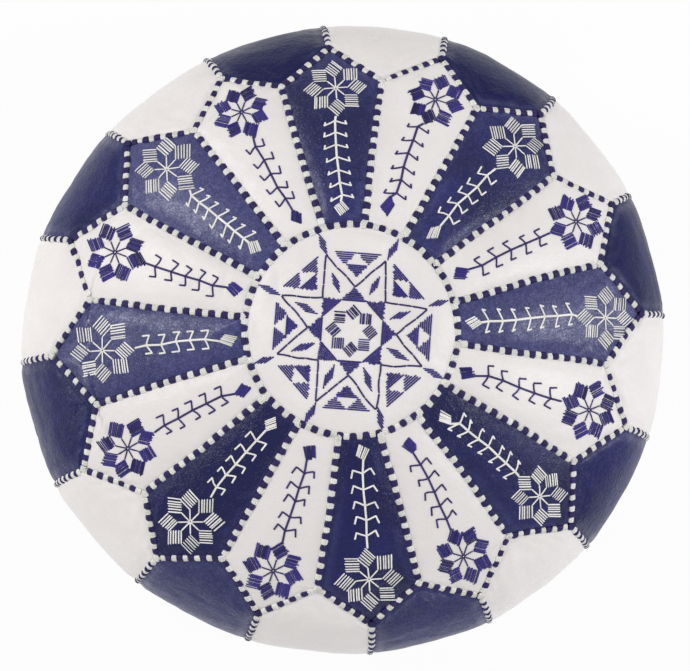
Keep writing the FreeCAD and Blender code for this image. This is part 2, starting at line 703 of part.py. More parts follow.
def pull_tab():
    """Flat pull tab, closed over the slider's crown by a round bar, with a hole at its free end."""
    eye = BAR_RADIUS
    low, high = BAR_AXIS - BAR_RADIUS, BAR_AXIS + BAR_RADIUS
    end = SLIDER_MIDDLE - TAB_LENGTH
    plate = box((end, SLIDER_MIDDLE), (-TAB_HALF_WIDTH, TAB_HALF_WIDTH), (low, high))
    corners = [e for e in plate.Edges if abs(e.CenterOfMass.x - end) < 1e-6 and e.Length < TAB_HALF_WIDTH]
    plate = plate.makeFillet(TAB_HALF_WIDTH * 0.9, corners)
    window = box(
        (SLIDER_MIDDLE - TAB_WINDOW_LENGTH, SLIDER_MIDDLE + eye),
        (-TAB_WINDOW_HALF_WIDTH, TAB_WINDOW_HALF_WIDTH),
        (low, high),
    )
    hole_place = Vector(end + TAB_HALF_WIDTH, 0, low)
    hole = Part.makeCylinder(TAB_HOLE_RADIUS, high - low, hole_place)
    bar_start = Vector(SLIDER_MIDDLE, -TAB_HALF_WIDTH, BAR_AXIS)
    hinge_bar = Part.makeCylinder(BAR_RADIUS, 2 * TAB_HALF_WIDTH, bar_start, Vector(0, 1, 0))
    write("zip_pull_tab", plate.cut(window).cut(hole).fuse(hinge_bar).removeSplitter())


def main():
    """Write every node."""
    os.makedirs("parts", exist_ok=True)
    leather_panels(layer(-LEATHER, 0))
    base_halves()
    bag_and_stuffing()
    seams()
    embroidery()
    zip_chain()
    zip_stitching()
    slider()
    pull_tab()


main()
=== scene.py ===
"""Moroccan leather pouf: panels, whip-stitched seams, embroidery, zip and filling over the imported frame."""

import logging
import math
from collections.abc import Callable, Iterator, Sequence
from contextlib import contextmanager
from dataclasses import dataclass, replace
from enum import Enum

import bpy
import numpy as np
from mathutils import Matrix, Vector, noise
from mathutils.bvhtree import BVHTree


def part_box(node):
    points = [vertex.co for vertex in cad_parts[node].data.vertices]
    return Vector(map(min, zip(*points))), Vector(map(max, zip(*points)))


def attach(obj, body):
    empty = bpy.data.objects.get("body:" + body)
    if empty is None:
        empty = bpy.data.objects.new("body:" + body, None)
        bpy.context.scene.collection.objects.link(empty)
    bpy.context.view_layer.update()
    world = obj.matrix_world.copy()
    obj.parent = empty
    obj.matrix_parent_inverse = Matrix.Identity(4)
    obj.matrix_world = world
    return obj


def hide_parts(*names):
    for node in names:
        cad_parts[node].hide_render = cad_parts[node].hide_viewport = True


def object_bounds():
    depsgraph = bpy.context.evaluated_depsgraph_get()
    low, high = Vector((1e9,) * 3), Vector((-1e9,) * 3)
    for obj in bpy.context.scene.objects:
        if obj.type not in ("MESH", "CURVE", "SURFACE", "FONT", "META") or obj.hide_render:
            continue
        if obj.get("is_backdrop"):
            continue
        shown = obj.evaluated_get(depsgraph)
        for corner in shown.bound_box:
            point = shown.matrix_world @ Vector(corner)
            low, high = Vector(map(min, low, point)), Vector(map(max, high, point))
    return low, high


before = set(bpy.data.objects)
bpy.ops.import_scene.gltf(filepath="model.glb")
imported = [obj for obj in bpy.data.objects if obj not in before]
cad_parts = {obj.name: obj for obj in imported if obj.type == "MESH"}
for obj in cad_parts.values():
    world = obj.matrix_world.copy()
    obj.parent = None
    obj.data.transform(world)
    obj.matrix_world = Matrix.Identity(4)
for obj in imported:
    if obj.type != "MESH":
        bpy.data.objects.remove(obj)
CAD_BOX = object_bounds()

LOG = logging.getLogger("pouf")
MM = 0.001
PETALS = 16
PITCH = 2 * math.pi / PETALS
HALF_PITCH = PITCH / 2
FIRST_PETAL = math.pi / 2
FIRST_SIDE = FIRST_PETAL - HALF_PITCH
LEATHER = 1.4 * MM
SEAM_GAP = 0.5 * MM
DRAWN_IN = 2.0 * MM
CUT_EDGE = math.radians(50.0)
COVER = "cover"
WANDER_SEED = 11

Points = np.ndarray
Object = bpy.types.Object
Socket = bpy.types.NodeSocket
Tree = bpy.types.NodeTree
Material = bpy.types.Material
Colour = tuple[float, float, float]
Pair = tuple[float, float]


class Dye(Enum):
    """Colours that leather is dyed in."""

    NAVY = "navy"
    WHITE = "white"


# ------------------------ working on meshes


def deselect() -> None:
    """Leave nothing selected."""
    bpy.ops.object.select_all(action="DESELECT")


def take(obj: Object) -> None:
    """Make one object the selected and active one.

    Args:
        obj: The object to work on.
    """
    deselect()
    obj.select_set(True)
    bpy.context.view_layer.objects.active = obj


@contextmanager
def editing(obj: Object, select: str = "SELECT") -> Iterator[None]:
    """Work on one object in edit mode, until the block ends.

    Args:
        obj: The object to work on.
        select: What is done to its selection first, or an empty word to keep that.

    Yields:
        Nothing.
    """
    take(obj)
    bpy.ops.object.mode_set(mode="EDIT")
    if select:
        bpy.ops.mesh.select_all(action=select)
    yield
    bpy.ops.object.mode_set(mode="OBJECT")


def added(name: str) -> Object:
    """Name the primitive that was just added.

    Args:
        name: The piece's name.

    Returns:
        The active object.
    """
    obj = bpy.context.object
    obj.name = name
    obj.data.name = name
    return obj


def rows_of(items: bpy.types.bpy_prop_collection, key: str, width: int = 3) -> Points:
    """Numbers of a mesh's elements.

    Args:
        items: The elements.
        key: Name of the numbers.
        width: How many of them each element has.

    Returns:
        One row for each element.
    """
    flat = np.zeros(len(items) * width, np.float32)
    items.foreach_get(key, flat)
    return flat.reshape(-1, width).astype(float)


def points_of(obj: Object) -> Points:
    """Places of an object's vertices, one row for each."""
    return rows_of(obj.data.vertices, "co")


def normals_of(obj: Object) -> Points:
    """Directions that an object's vertices face, one row for each."""
    return rows_of(obj.data.vertex_normals, "vector")


def stored(obj: Object, name: str) -> Points:
    """Numbers that were kept under a name, one for each vertex."""
    return rows_of(obj.data.attributes[name].data, "value", 1)[:, 0]


def store(obj: Object, name: str, values: Points) -> None:
    """Keep one number for each vertex under a name."""
    kept = obj.data.attributes.get(name) or obj.data.attributes.new(name, "FLOAT", "POINT")
    kept.data.foreach_set("value", np.asarray(values, np.float32))


def set_points(obj: Object, points: Points) -> None:
    """Move an object's vertices."""
    obj.data.vertices.foreach_set("co", np.ascontiguousarray(points).ravel())
    obj.data.update()


def apply_modifier(obj: Object, kind: str, **settings: object) -> None:
    """Add one modifier with its settings and apply it.

    Args:
        obj: A mesh object.
        kind: The modifier's type.
        settings: Values for the modifier's own properties.
    """
    take(obj)
    bpy.ops.object.modifier_add(type=kind)
    modifier = obj.modifiers[-1]
    for name, value in settings.items():
        setattr(modifier, name, value)
    bpy.ops.object.modifier_apply(modifier=modifier.name)


def merge_close(obj: Object, distance: float = 0.05 * MM) -> None:
    """Join vertices that lie on each other and turn all faces outward.

    Args:
        obj: A mesh object.
        distance: How near two vertices have to be.
    """
    with editing(obj):
        bpy.ops.mesh.remove_doubles(threshold=distance)
        bpy.ops.mesh.normals_make_consistent(inside=False)


def smooth(obj: Object, angle: float = math.pi) -> None:
    """Shade an object smooth, but for edges sharper than an angle.

    Args:
        obj: A mesh object.
        angle: The sharpest turn that still looks round.
    """
    take(obj)
    if angle >= math.pi:
        bpy.ops.object.shade_smooth()
    else:
        bpy.ops.object.shade_smooth_by_angle(angle=angle)


def thicken(sheet: Object) -> None:
    """Give a sheet the thickness of the hide, inward, with clean cut edges."""
    apply_modifier(sheet, "SOLIDIFY", thickness=LEATHER, offset=-1.0, use_even_offset=True)
    smooth(sheet, CUT_EDGE)


def finish_piece(
    obj: Object,
    materials: Sequence[Material],
    stands_for: Sequence[str] = (),
    body: str = COVER,
) -> None:
    """Dress a piece and let it ride with its body.

    Args:
        obj: The finished mesh.
        materials: Its materials, by slot number.
        stands_for: Nodes of the frame that it stands for.
        body: Body of the frame that it moves with.
    """
    for material in materials:
        obj.data.materials.append(material)
    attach(obj, body)
    if stands_for:
        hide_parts(*stands_for)
    LOG.info("%s: %d vertices", obj.name, len(obj.data.vertices))


def noise_at(points: Points, scale: float, shift: Vector = Vector((0, 0, 0))) -> Points:
    """Smooth chance from about -1 to 1 at each place, with bumps about 1 / scale across."""
    return np.array([noise.noise(Vector(row) * scale + shift) for row in points])


def read_at(place: float | Points, run: Points, rows: Points) -> Points:
    """Rows read off at places along a run, between the given ones."""
    return np.stack([np.interp(place, run, column) for column in rows.T], axis=-1)


def unit(vector: Points) -> Points:
    """A direction made one long."""
    return vector / max(float(np.linalg.norm(vector)), 1e-12)


# ------------------------ shape of the pouf


@dataclass
class Form:
    """Outer surface of the stuffed cover, turned about its axis from one outline.

    A place on it is the distance from the crown along the outline, and a direction
    round the axis, counterclockwise from +X.
    """

    outer_radius: float
    height: float
    medallion_radius: float
    crown_radius: float = 449.0 * MM
    shoulder_radius: float = 106.0 * MM
    flank_turn: float = math.radians(30.0)
    foot_inset: float = 89.0 * MM
    foot_width: float = 11.0 * MM
    groove_slope: float = 17.0 * MM
    groove_height: float = 7.0 * MM
    valley_inset: float = 58.0 * MM
    tip_inset: float = 29.0 * MM
    sample: float = 0.5 * MM
    # hand-made shape: share of the radius, number of bulges round the pouf, direction of the first
    bulges: tuple[tuple[float, int, float], ...] = (
        (0.0125, 2, math.radians(12.0)),
        (0.0062, 3, math.radians(-56.0)),
    )
    crown_shift: Pair = (-2.0 * MM, 0.9 * MM)
    wander: float = 2.2 * MM
    wander_size: float = 75.0 * MM
    wander_rise: float = 60.0 * MM
    calm_share: float = 0.75

    def __post_init__(self) -> None:
        """Work out the outline: a dome, a shoulder, a flank, a heel, a flat foot and a groove."""
        across = self.crown_radius - self.shoulder_radius
        shoulder = self.outer_radius - self.shoulder_radius
        dome_height = self.height - self.crown_radius
        self.equator = dome_height + math.sqrt(across**2 - shoulder**2)
        dome_turn = math.asin(shoulder / across)
        cos, sin = math.cos(self.flank_turn), math.sin(self.flank_turn)
        top = self.foot_inset - self.equator * (1 - cos) / sin
        heel_radius = top / (cos - (1 - sin) * (1 - cos) / sin)
        flank_radius = (self.equator - heel_radius * (1 - sin)) / sin
        flank = self.outer_radius - flank_radius
        heel_r = flank + (flank_radius - heel_radius) * cos
        heel_z = self.equator - (flank_radius - heel_radius) * sin
        quarter = math.pi / 2
        foot_radius = self.outer_radius - self.foot_inset
        foot_inner = foot_radius - self.foot_width
        self.base_radius = foot_inner - self.groove_slope
        rows = [
            self._arc(0.0, dome_height, self.crown_radius, quarter, quarter - dome_turn),
            self._arc(shoulder, self.equator, self.shoulder_radius, quarter - dome_turn, 0.0),
            self._arc(flank, self.equator, flank_radius, 0.0, -self.flank_turn),
            self._arc(heel_r, heel_z, heel_radius, -self.flank_turn, -quarter),
            self._line((foot_radius, 0.0), (foot_inner, 0.0)),
            self._line((foot_inner, 0.0), (self.base_radius, self.groove_height)),
        ]
        table = np.concatenate(rows)
        steps = np.hypot(np.diff(table[:, 0]), np.diff(table[:, 1]))
        along = np.concatenate([[0.0], np.cumsum(steps)])
        self.outline = np.column_stack([along, table])
        ends = np.cumsum([len(row) for row in rows]) - 1
        self.equator_along, self.foot_along, self.base_along = along[ends[[1, 3, 5]]]
        self.valley_radius = self.outer_radius - self.valley_inset
        self.tip_radius = self.outer_radius - self.tip_inset
        self.rim_along = float(self.along_of(self.medallion_radius))

    def _arc(self, r: float, z: float, radius: float, start: float, end: float) -> Points:
        """Rows of radius, height and facing along an arc.

        Args:
            r: The arc centre's distance from the axis.
            z: The arc centre's height.
            radius: The arc's radius.
            start: Direction of its first point, from the horizontal.
            end: Direction of its last point.

        Returns:
            Radius, height and the two parts of the outward direction, by row.
        """
        count = max(3, round(radius * abs(start - end) / self.sample))
        turn = np.linspace(start, end, count)
        cos, sin = np.cos(turn), np.sin(turn)
        return np.column_stack([r + radius * cos, z + radius * sin, cos, sin])

    def _line(self, start: Pair, end: Pair) -> Points:
        """Rows of radius, height and facing along a straight stretch of the underside.

        Args:
            start: Radius and height of its first point.
            end: Radius and height of its last point.

        Returns:
            The same four columns as an arc.
        """
        run = np.subtract(end, start)
        length = float(np.hypot(*run))
        share = np.linspace(0, 1, max(3, round(length / self.sample)))[1:, None]
        places = np.asarray(start) + share * run
        facing = np.array([-run[1], run[0]]) / length
        return np.column_stack([places, np.tile(facing, (len(places), 1))])

    def along_of(self, radius: float | Points) -> Points:
        """Distances from the crown at which the top has these radii."""
        top = self.outline[self.outline[:, 0] <= self.equator_along]
        return np.interp(radius, top[:, 1], top[:, 0])

    def row(self, along: Points) -> tuple[Points, Points, Points, Points]:
        """Radius, height and facing at distances from the crown.

        Args:
            along: Distances along the outline.

        Returns:
            Radius, height, and the outward direction's parts away from the axis and up.
        """
        r, z, out, up = read_at(along, self.outline[:, 0], self.outline[:, 1:]).T
        length = np.maximum(np.hypot(out, up), 1e-9)
        return r, z, out / length, up / length

    def place(self, along: Points, turn: Points, lift: float | Points = 0.0) -> Points:
        """Points over the surface.

        Args:
            along: Distances from the crown.
            turn: Directions round the axis.
            lift: Heights over the surface.

        Returns:
            One row of three numbers for each place.
        """
        r, z, out, up = self.row(np.asarray(along, float))
        reach = r + out * lift
        return np.column_stack([reach * np.cos(turn), reach * np.sin(turn), z + up * lift])

    def facing(self, along: Points, turn: Points) -> Points:
        """Outward directions of the surface at distances from the crown and directions round it."""
        _, _, out, up = self.row(np.asarray(along, float))
        return np.column_stack([out * np.cos(turn), out * np.sin(turn), up])

    def zigzag(self, from_tip: float | Points) -> Points:
        """Distance from the crown to the pointed outer edge of the petals.

        Args:
            from_tip: Angles from the nearest petal's point.

        Returns:
            Distances along the outline.
        """
        tip = self.tip_radius
        valley_x = self.valley_radius * math.cos(HALF_PITCH)
        valley_y = self.valley_radius * math.sin(HALF_PITCH)
        away = np.abs(from_tip)
        radius = tip * valley_y / (valley_y * np.cos(away) + (tip - valley_x) * np.sin(away))
        return self.along_of(radius)

    def settle(self, points: Points) -> Points:
        """Points moved with the pouf's slightly uneven, hand-stuffed girth.

        Args:
            points: Places round an even pouf.

        Returns:
            The same places on this one.
        """
        turn = np.arctan2(points[:, 1], points[:, 0])
        radius = np.hypot(points[:, 0], points[:, 1])
        share = np.clip(radius / self.outer_radius, 0, 1) ** 2
        share = share * np.clip(points[:, 2] / self.equator, 0, 1)
        swell = sum(size * np.cos(count * (turn - first)) for size, count, first in self.bulges)
        moved = points.copy()
        moved[:, :2] *= (1 + share * swell)[:, None]
        on_top = points[:, 2] > self.equator
        crown = np.where(on_top, np.clip(1 - radius / self.tip_radius, 0, 1) ** 0.5, 0)
        stray = np.zeros((len(points), 2))
        for index in np.flatnonzero(on_top & (radius > self.calm_share * self.medallion_radius)):
            step = noise.noise_vector(Vector(points[index]) / self.wander_size)
            stray[index] = self.wander * step[0], self.wander * step[1]
        ease = np.clip((points[:, 2] - self.equator) / self.wander_rise, 0, 1)
        ease *= np.clip(radius / self.medallion_radius - self.calm_share, 0, 1)
        moved[:, :2] += stray * ease[:, None] + np.outer(crown, self.crown_shift)
        before, after = self.top_height(radius), self.top_height(np.hypot(*moved[:, :2].T))
        moved[:, 2] += np.where(on_top & (radius < self.valley_radius), after - before, 0)
        return moved

    def top_height(self, radius: Points) -> Points:
        """Heights of the even dome over the floor at distances from the axis."""
        return self.row(self.along_of(radius))[1]


class Surface:
    """Finished leather that threads are laid on."""

    def __init__(self, panels: Sequence[Object]) -> None:
        """Gather the outer faces of the panels.

        Args:
            panels: Leather panels before their thickness is added.
        """
        corners: list[tuple[float, ...]] = []
        faces: list[tuple[int, ...]] = []
        for panel in panels:
            start = len(corners)
            corners += [tuple(row) for row in points_of(panel)]
            faces += [tuple(start + v for v in face.vertices) for face in panel.data.polygons]
        self.tree = BVHTree.FromPolygons(corners, faces)

    def land(self, place: Points, facing: Points, reach: float = 25.0 * MM) -> tuple[Points, Points]:
        """Nearest leather under a place.

        Args:
            place: A point near the surface.
            facing: Outward direction there.
            reach: How far out to start, and how far in to look.

        Returns:
            The point on the leather and the leather's own facing.
        """
        start = Vector(place + facing * reach)
        hit, normal, _, _ = self.tree.ray_cast(start, Vector(-facing), 2 * reach)
        if hit is None:
            return place, facing
        return np.array(hit), np.array(normal)


# ------------------------ finishes


class Graph:
    """Short hand for laying out one node tree."""

    def __init__(self, tree: Tree) -> None:
        """Start on the tree of a material, world or group."""
        self.tree = tree
        self.count = 0

    def feed(self, node: bpy.types.Node, inputs: dict) -> None:
        """Link sockets to a node's inputs, and set its own plain values.

        Args:
            node: The node.
            inputs: Sockets, numbers or colours by input name or number.
        """
        for key, value in inputs.items():
            socket = node.inputs[key]
            if isinstance(value, Socket):
                self.tree.links.new(value, socket)
            else:
                socket.default_value = (*value, 1.0) if socket.type == "RGBA" else value

    def node(self, kind: str, inputs: dict | None = None, **settings: object) -> bpy.types.Node:
        """Add one node.

        Args:
            kind: Its type, without the "ShaderNode" that all share.
            inputs: Sockets, numbers or colours by input name or number.
            settings: Values for the node's own properties.

        Returns:
            The new node.
        """
        node = self.tree.nodes.new(kind if kind.startswith("NodeGroup") else "ShaderNode" + kind)
        node.location = (self.count * 180, 0)
        self.count += 1
        for key, value in settings.items():
            setattr(node, key, value)
        self.feed(node, inputs or {})
        return node

    def maths(self, operation: str, *values: object, clamp: bool = False) -> Socket:
        """Result of one sum with these numbers or sockets."""
        inputs = dict(enumerate(values))
        return self.node("Math", inputs, operation=operation, use_clamp=clamp).outputs[0]

    def times(self, first: object, second: object) -> Socket:
        """Product of two numbers or sockets."""
        return self.maths("MULTIPLY", first, second)

    def blend(self, share: object, first: object, second: object) -> Socket:
        """Mix of two colours, with a share of the second."""
        return self.node("Mix", {0: share, 6: first, 7: second}, data_type="RGBA").outputs[2]

    def spread(
        self, value: object, first: float, last: float, low: float = 0.0, high: float = 1.0
    ) -> Socket:
        """A number's range from low to high, mapped to one from first to last and kept in it."""
        inputs = {0: value, 1: low, 2: high, 3: first, 4: last}
        return self.node("MapRange", inputs).outputs[0]

    def clouds(self, place: Socket, scale: object, detail: float, **more: float) -> Socket:
        """Cloudy chance from 0 to 1 at a place."""
        inputs = {"Vector": place, "Scale": scale, "Detail": detail, **more}
        return self.node("TexNoise", inputs).outputs["Fac"]

    def bump(self, height: Socket, strength: float, distance: float) -> Socket:
        """Normals of a rough surface with this relief."""
        inputs = {"Strength": strength, "Distance": distance, "Height": height}
        return self.node("Bump", inputs).outputs[0]

    def kept(self, name: str) -> Socket:
        """Numbers that are stored on the piece under a name."""
        return self.node("Attribute", attribute_name=name).outputs["Fac"]

    def place(self) -> Socket:
        """The piece's own coordinates."""
        return self.node("TexCoord").outputs["Object"]


def new_group(
    name: str, inputs: dict[str, float | None], outputs: Sequence[str]
) -> tuple[Tree, Graph, bpy.types.NodeOutputs, bpy.types.Node]:
    """Start a shared node group.

    Args:
        name: The group's name.
        inputs: Its inputs, with a starting number, or None for a place.
        outputs: Names of the numbers that it puts out.

    Returns:
        The group, its graph, what comes in by name, and the node of its outputs.
    """
    tree = bpy.data.node_groups.new(name, "ShaderNodeTree")
    for key, value in inputs.items():
        kind = "NodeSocketVector" if value is None else "NodeSocketFloat"
        socket = tree.interface.new_socket(key, in_out="INPUT", socket_type=kind)
        if value is not None:
            socket.default_value = value
    for key in outputs:
        tree.interface.new_socket(key, in_out="OUTPUT", socket_type="NodeSocketFloat")
    graph = Graph(tree)
    return tree, graph, graph.node("NodeGroupInput").outputs, graph.node("NodeGroupOutput")


def hide_grain() -> Tree:
    """Grain, creases and cloudy dye of tanned hide.

    Returns:
        A group with the numbers Height, Cloud, Crease and Pore.
    """
    sizes = {"Place": None, "Pebble": 430.0, "Crease": 150.0, "Cloud": 15.0}
    tree, graph, given, result = new_group("hide_grain", sizes, ("Height", "Cloud", "Crease", "Pore"))
    place = given["Place"]
    wander = graph.node("TexNoise", {"Vector": place, "Scale": 60.0, "Detail": 2.0}).outputs["Color"]
    push = graph.node("VectorMath", {0: wander, 1: (0.5, 0.5, 0.5)}, operation="SUBTRACT").outputs[0]
    push = graph.node("VectorMath", {0: push, "Scale": 0.006}, operation="SCALE").outputs[0]
    bent = graph.node("VectorMath", {0: place, 1: push}, operation="ADD").outputs[0]
    pebble = graph.node("TexVoronoi", {"Vector": bent, "Scale": given["Pebble"]}, feature="DISTANCE_TO_EDGE")
    pebbles = graph.maths("MINIMUM", pebble.outputs["Distance"], 0.25)
    fold = graph.clouds(bent, given["Crease"], 3.0)
    crease = graph.spread(graph.maths("ABSOLUTE", graph.maths("SUBTRACT", fold, 0.5)), 0.0, 1.0, 0.0, 0.11)
    cloud = graph.clouds(place, given["Cloud"], 4.0, Roughness=0.62)
    grain = graph.maths("ADD", graph.times(pebbles, 1.4), graph.times(crease, 0.6))
    outputs = {
        "Height": graph.maths("ADD", grain, graph.times(graph.clouds(bent, 62.0, 3.0), 2.4)),
        "Cloud": graph.spread(cloud, 0.0, 1.0, 0.32, 0.68),
        "Crease": crease,
        "Pore": graph.spread(pebbles, 1.0, 0.0, 0.0, 0.22),
    }
    graph.feed(result, outputs)
    return tree


def ply_twist() -> Tree:
    """Twisted plies and loose fibre of sewing thread.

    Returns:
        A group with the numbers Height and Shade.
    """
    tree, graph, given, result = new_group("ply_twist", {"Place": None, "Turns": 700.0}, ("Height", "Shade"))
    split = graph.node("SeparateXYZ", {0: given["Place"]}).outputs
    phase = graph.maths("ADD", graph.times(split[0], given["Turns"]), split[1])
    twist = graph.spread(graph.maths("SINE", graph.times(phase, 2 * math.pi)), 0.0, 1.0, -1.0, 1.0)
    fibre = graph.times(graph.clouds(given["Place"], 900.0, 2.0), 0.5)
    outputs = {"Height": graph.maths("ADD", twist, fibre), "Shade": graph.maths("POWER", twist, 0.5)}
    graph.feed(result, outputs)
    return tree


def weave() -> Tree:
    """Plain weave of yarns that cross at right angles.

    Returns:
        A group with the numbers Height and Shade.
    """
    tree, graph, given, result = new_group("weave", {"Place": None, "Yarns": 1500.0}, ("Height", "Shade"))
    split = graph.node("SeparateXYZ", {0: given["Place"]}).outputs
    runs = [graph.times(graph.times(split[axis], given["Yarns"]), math.pi) for axis in (0, 1)]
    cross = graph.times(graph.maths("SINE", runs[0]), graph.maths("SINE", runs[1]))
    graph.feed(result, {"Height": graph.maths("ABSOLUTE", cross), "Shade": graph.spread(cross, 0, 1, -1, 1)})
    return tree


def new_material(name: str) -> tuple[Material, Graph, bpy.types.Node]:
    """Start a material.

    Args:
        name: The material's name.

    Returns:
        The material, its graph and its main shader.
    """
    material = bpy.data.materials.new(name)
    material.use_nodes = True
    graph = Graph(material.node_tree)
    return material, graph, material.node_tree.nodes["Principled BSDF"]


@dataclass(frozen=True)
class LeatherFinish:
    """Dyed goatskin with a soft gloss."""

    name: str
    deep: Colour
    pale: Colour
    # colour of wear and of painted sheen and highlights: lighter on navy hide, darker on white
    wear_and_sheen: Colour
    roughness: float = 0.36
    bump: float = 0.4
    relief: float = 0.4 * MM
    shine: float = 0.25
    polish: float = 0.1
    rubbed_gloss: float = 0.35
    # painted shade in the creases and pores of the grain
    crease_shade: float = 0.35
    pore_shade: float = 0.25
    # share of that colour on the ridge beside the seams: a painted highlight on navy hide, a darker band on
    # white
    ridge_sheen_and_wear: float = 0.4
    # how far the panel's painted light and shade moves its dye lighter or darker, and its gloss
    painted_light_dye: float = 0.9
    painted_light_gloss: float = 0.1
    coat_roughness: float = 0.27

    def material(self, grain: Tree) -> Material:
        """Make the material.

        Args:
            grain: The shared group for hide.

        Returns:
            The material.
        """
        material, graph, shader = new_material(self.name)
        hide = graph.node("Group", {"Place": graph.place()}, node_tree=grain).outputs
        # the panel's painted light and shade is read here, beside the distance to its seam
        seam, painted_light = graph.kept("seam"), graph.kept("painted_light")
        cloud, crease, pore = hide["Cloud"], hide["Crease"], hide["Pore"]
        # the dye is clouded at random, and painted lighter or darker by the panel's painted light and shade
        tone_and_painted_light = graph.maths("ADD", cloud, graph.times(painted_light, self.painted_light_dye), clamp=True)
        dyed = graph.blend(tone_and_painted_light, self.deep, self.pale)
        # painted shade: creases and pores of the grain are painted towards the deep colour
        darkened = graph.spread(crease, self.crease_shade, 0), graph.times(pore, self.pore_shade)
        painted_grain_shade = graph.maths("MAXIMUM", *darkened)
        creased = graph.blend(painted_grain_shade, dyed, self.deep)
        risen = graph.spread(seam, 0, 1, 3.0 * MM, 6.0 * MM)
        ridge = graph.times(risen, graph.spread(seam, 1, 0, 7.5 * MM, 12.0 * MM))
        # the ridge beside the seams is painted in patches towards the colour of wear and sheen: a painted
        # highlight on navy hide, a darker band on white
        ridge_sheen_and_wear_mask = graph.times(ridge, graph.spread(cloud, 0, self.ridge_sheen_and_wear, 0.5, 0.85))
        # within 5 mm of a seam the colour goes halfway towards it too: a painted sheen on navy hide, darker
        # on white
        wear_and_sheen_mask = graph.maths("MAXIMUM", graph.spread(seam, 0.5, 0, 0, 5.0 * MM), ridge_sheen_and_wear_mask)
        patchy = graph.times(graph.spread(cloud, 0.6, 1), graph.spread(crease, 0.5, 1))
        patchy = graph.times(patchy, graph.spread(pore, 1, 0.35))
        # painted sheen: patches on panels painted lighter go towards the colour of wear and sheen
        painted_sheen = graph.times(graph.spread(painted_light, 0, 1), graph.maths("POWER", patchy, 0.45))
        wear_and_sheen_mask = graph.maths("MAXIMUM", wear_and_sheen_mask, graph.times(painted_sheen, 0.8))
        sat_on = graph.spread(graph.kept("along"), 0.8, 0, 205.0 * MM, 250.0 * MM)
        gloss = graph.spread(graph.maths("MAXIMUM", ridge, sat_on), self.polish, self.rubbed_gloss)
        gloss = graph.maths("ADD", gloss, graph.times(painted_light, self.painted_light_gloss), clamp=True)
        inputs = {
            "Base Color": graph.blend(wear_and_sheen_mask, creased, self.wear_and_sheen),
            "Roughness": graph.spread(cloud, self.roughness - 0.1, self.roughness + 0.1),
            "Normal": graph.bump(hide["Height"], self.bump, self.relief),
            "Coat Weight": graph.times(gloss, patchy),
            "Coat Roughness": self.coat_roughness,
            "Specular IOR Level": self.shine,
        }
        graph.feed(shader, inputs)
        return material


@dataclass(frozen=True)
class ThreadFinish:
    """Twisted cotton or silky thread."""

    name: str
    dark: Colour
    light: Colour
    roughness: float
    sheen: float = 0.05
    shine: float = 0.22
    turns: float = 620.0

    def material(self, twist: Tree) -> Material:
        """Make the material.

        Args:
            twist: The shared group for thread.

        Returns:
            The material.
        """
        material, graph, shader = new_material(self.name)
        place = graph.node("UVMap", uv_map="ply").outputs[0]
        ply = graph.node("Group", {"Turns": self.turns, "Place": place}, node_tree=twist).outputs
        share = graph.times(graph.spread(ply["Shade"], 0.35, 1), graph.kept("tint"))
        inputs = {
            "Base Color": graph.blend(share, self.dark, self.light),
            "Normal": graph.bump(ply["Height"], 0.5, 0.15 * MM),
            "Roughness": self.roughness,
            "Sheen Weight": self.sheen,
            "Specular IOR Level": self.shine,
        }
        graph.feed(shader, inputs)
        return material


@dataclass(frozen=True)
class WovenFinish:
    """Woven cloth or tape."""

    name: str
    dark: Colour
    light: Colour
    yarns: float
    roughness: float = 0.85

    def material(self, cloth: Tree) -> Material:
        """Make the material.

        Args:
            cloth: The shared group for weaves.

        Returns:
            The material.
        """
        material, graph, shader = new_material(self.name)
        place = graph.place()
        woven = graph.node("Group", {"Yarns": self.yarns, "Place": place}, node_tree=cloth).outputs
        slub = graph.spread(graph.clouds(place, 70.0, 3.0), 0.5, 1, 0.3, 0.7)
        inputs = {
            "Base Color": graph.blend(graph.times(woven["Shade"], slub), self.dark, self.light),
            "Normal": graph.bump(woven["Height"], 0.5, 0.2 * MM),
            "Roughness": self.roughness,
        }
        graph.feed(shader, inputs)
        return material


@dataclass(frozen=True)
class FibreFinish:
    """Loose fibre filling."""

    name: str = "fibre_filling"
    dark: Colour = (0.62, 0.6, 0.55)
    light: Colour = (0.86, 0.85, 0.82)
    roughness: float = 0.95

    def material(self) -> Material:
        """Make the material.

        Returns:
            The material.
        """
        material, graph, shader = new_material(self.name)
        tuft = graph.clouds(graph.place(), 120.0, 8.0, Distortion=1.5)
        inputs = {
            "Base Color": graph.blend(tuft, self.dark, self.light),
            "Normal": graph.bump(tuft, 0.9, 1.5 * MM),
            "Roughness": self.roughness,
        }
        graph.feed(shader, inputs)
        return material


@dataclass(frozen=True)
class BrassFinish:
    """Brushed brass, darker in cloudy patches."""

    name: str = "antique_brass"
    bright: Colour = (0.62, 0.45, 0.22)
    dull: Colour = (0.22, 0.15, 0.07)

    def material(self) -> Material:
        """Make the material.

        Returns:
            The material.
        """
        material, graph, shader = new_material(self.name)
        place = graph.place()
        long_way = graph.node("Mapping", {"Vector": place, "Scale": (0.08, 1.0, 1.0)}).outputs[0]
        stain = graph.clouds(place, 350.0, 5.0)
        inputs = {
            "Base Color": graph.blend(graph.spread(stain, 0.15, 1, 0.4, 0.62), self.dull, self.bright),
            "Roughness": graph.spread(stain, 0.52, 0.3, 0.35, 0.65),
            "Normal": graph.bump(graph.clouds(long_way, 4000.0, 2.0), 0.25, 0.05 * MM),
            "Metallic": 1.0,
        }
        graph.feed(shader, inputs)
        return material


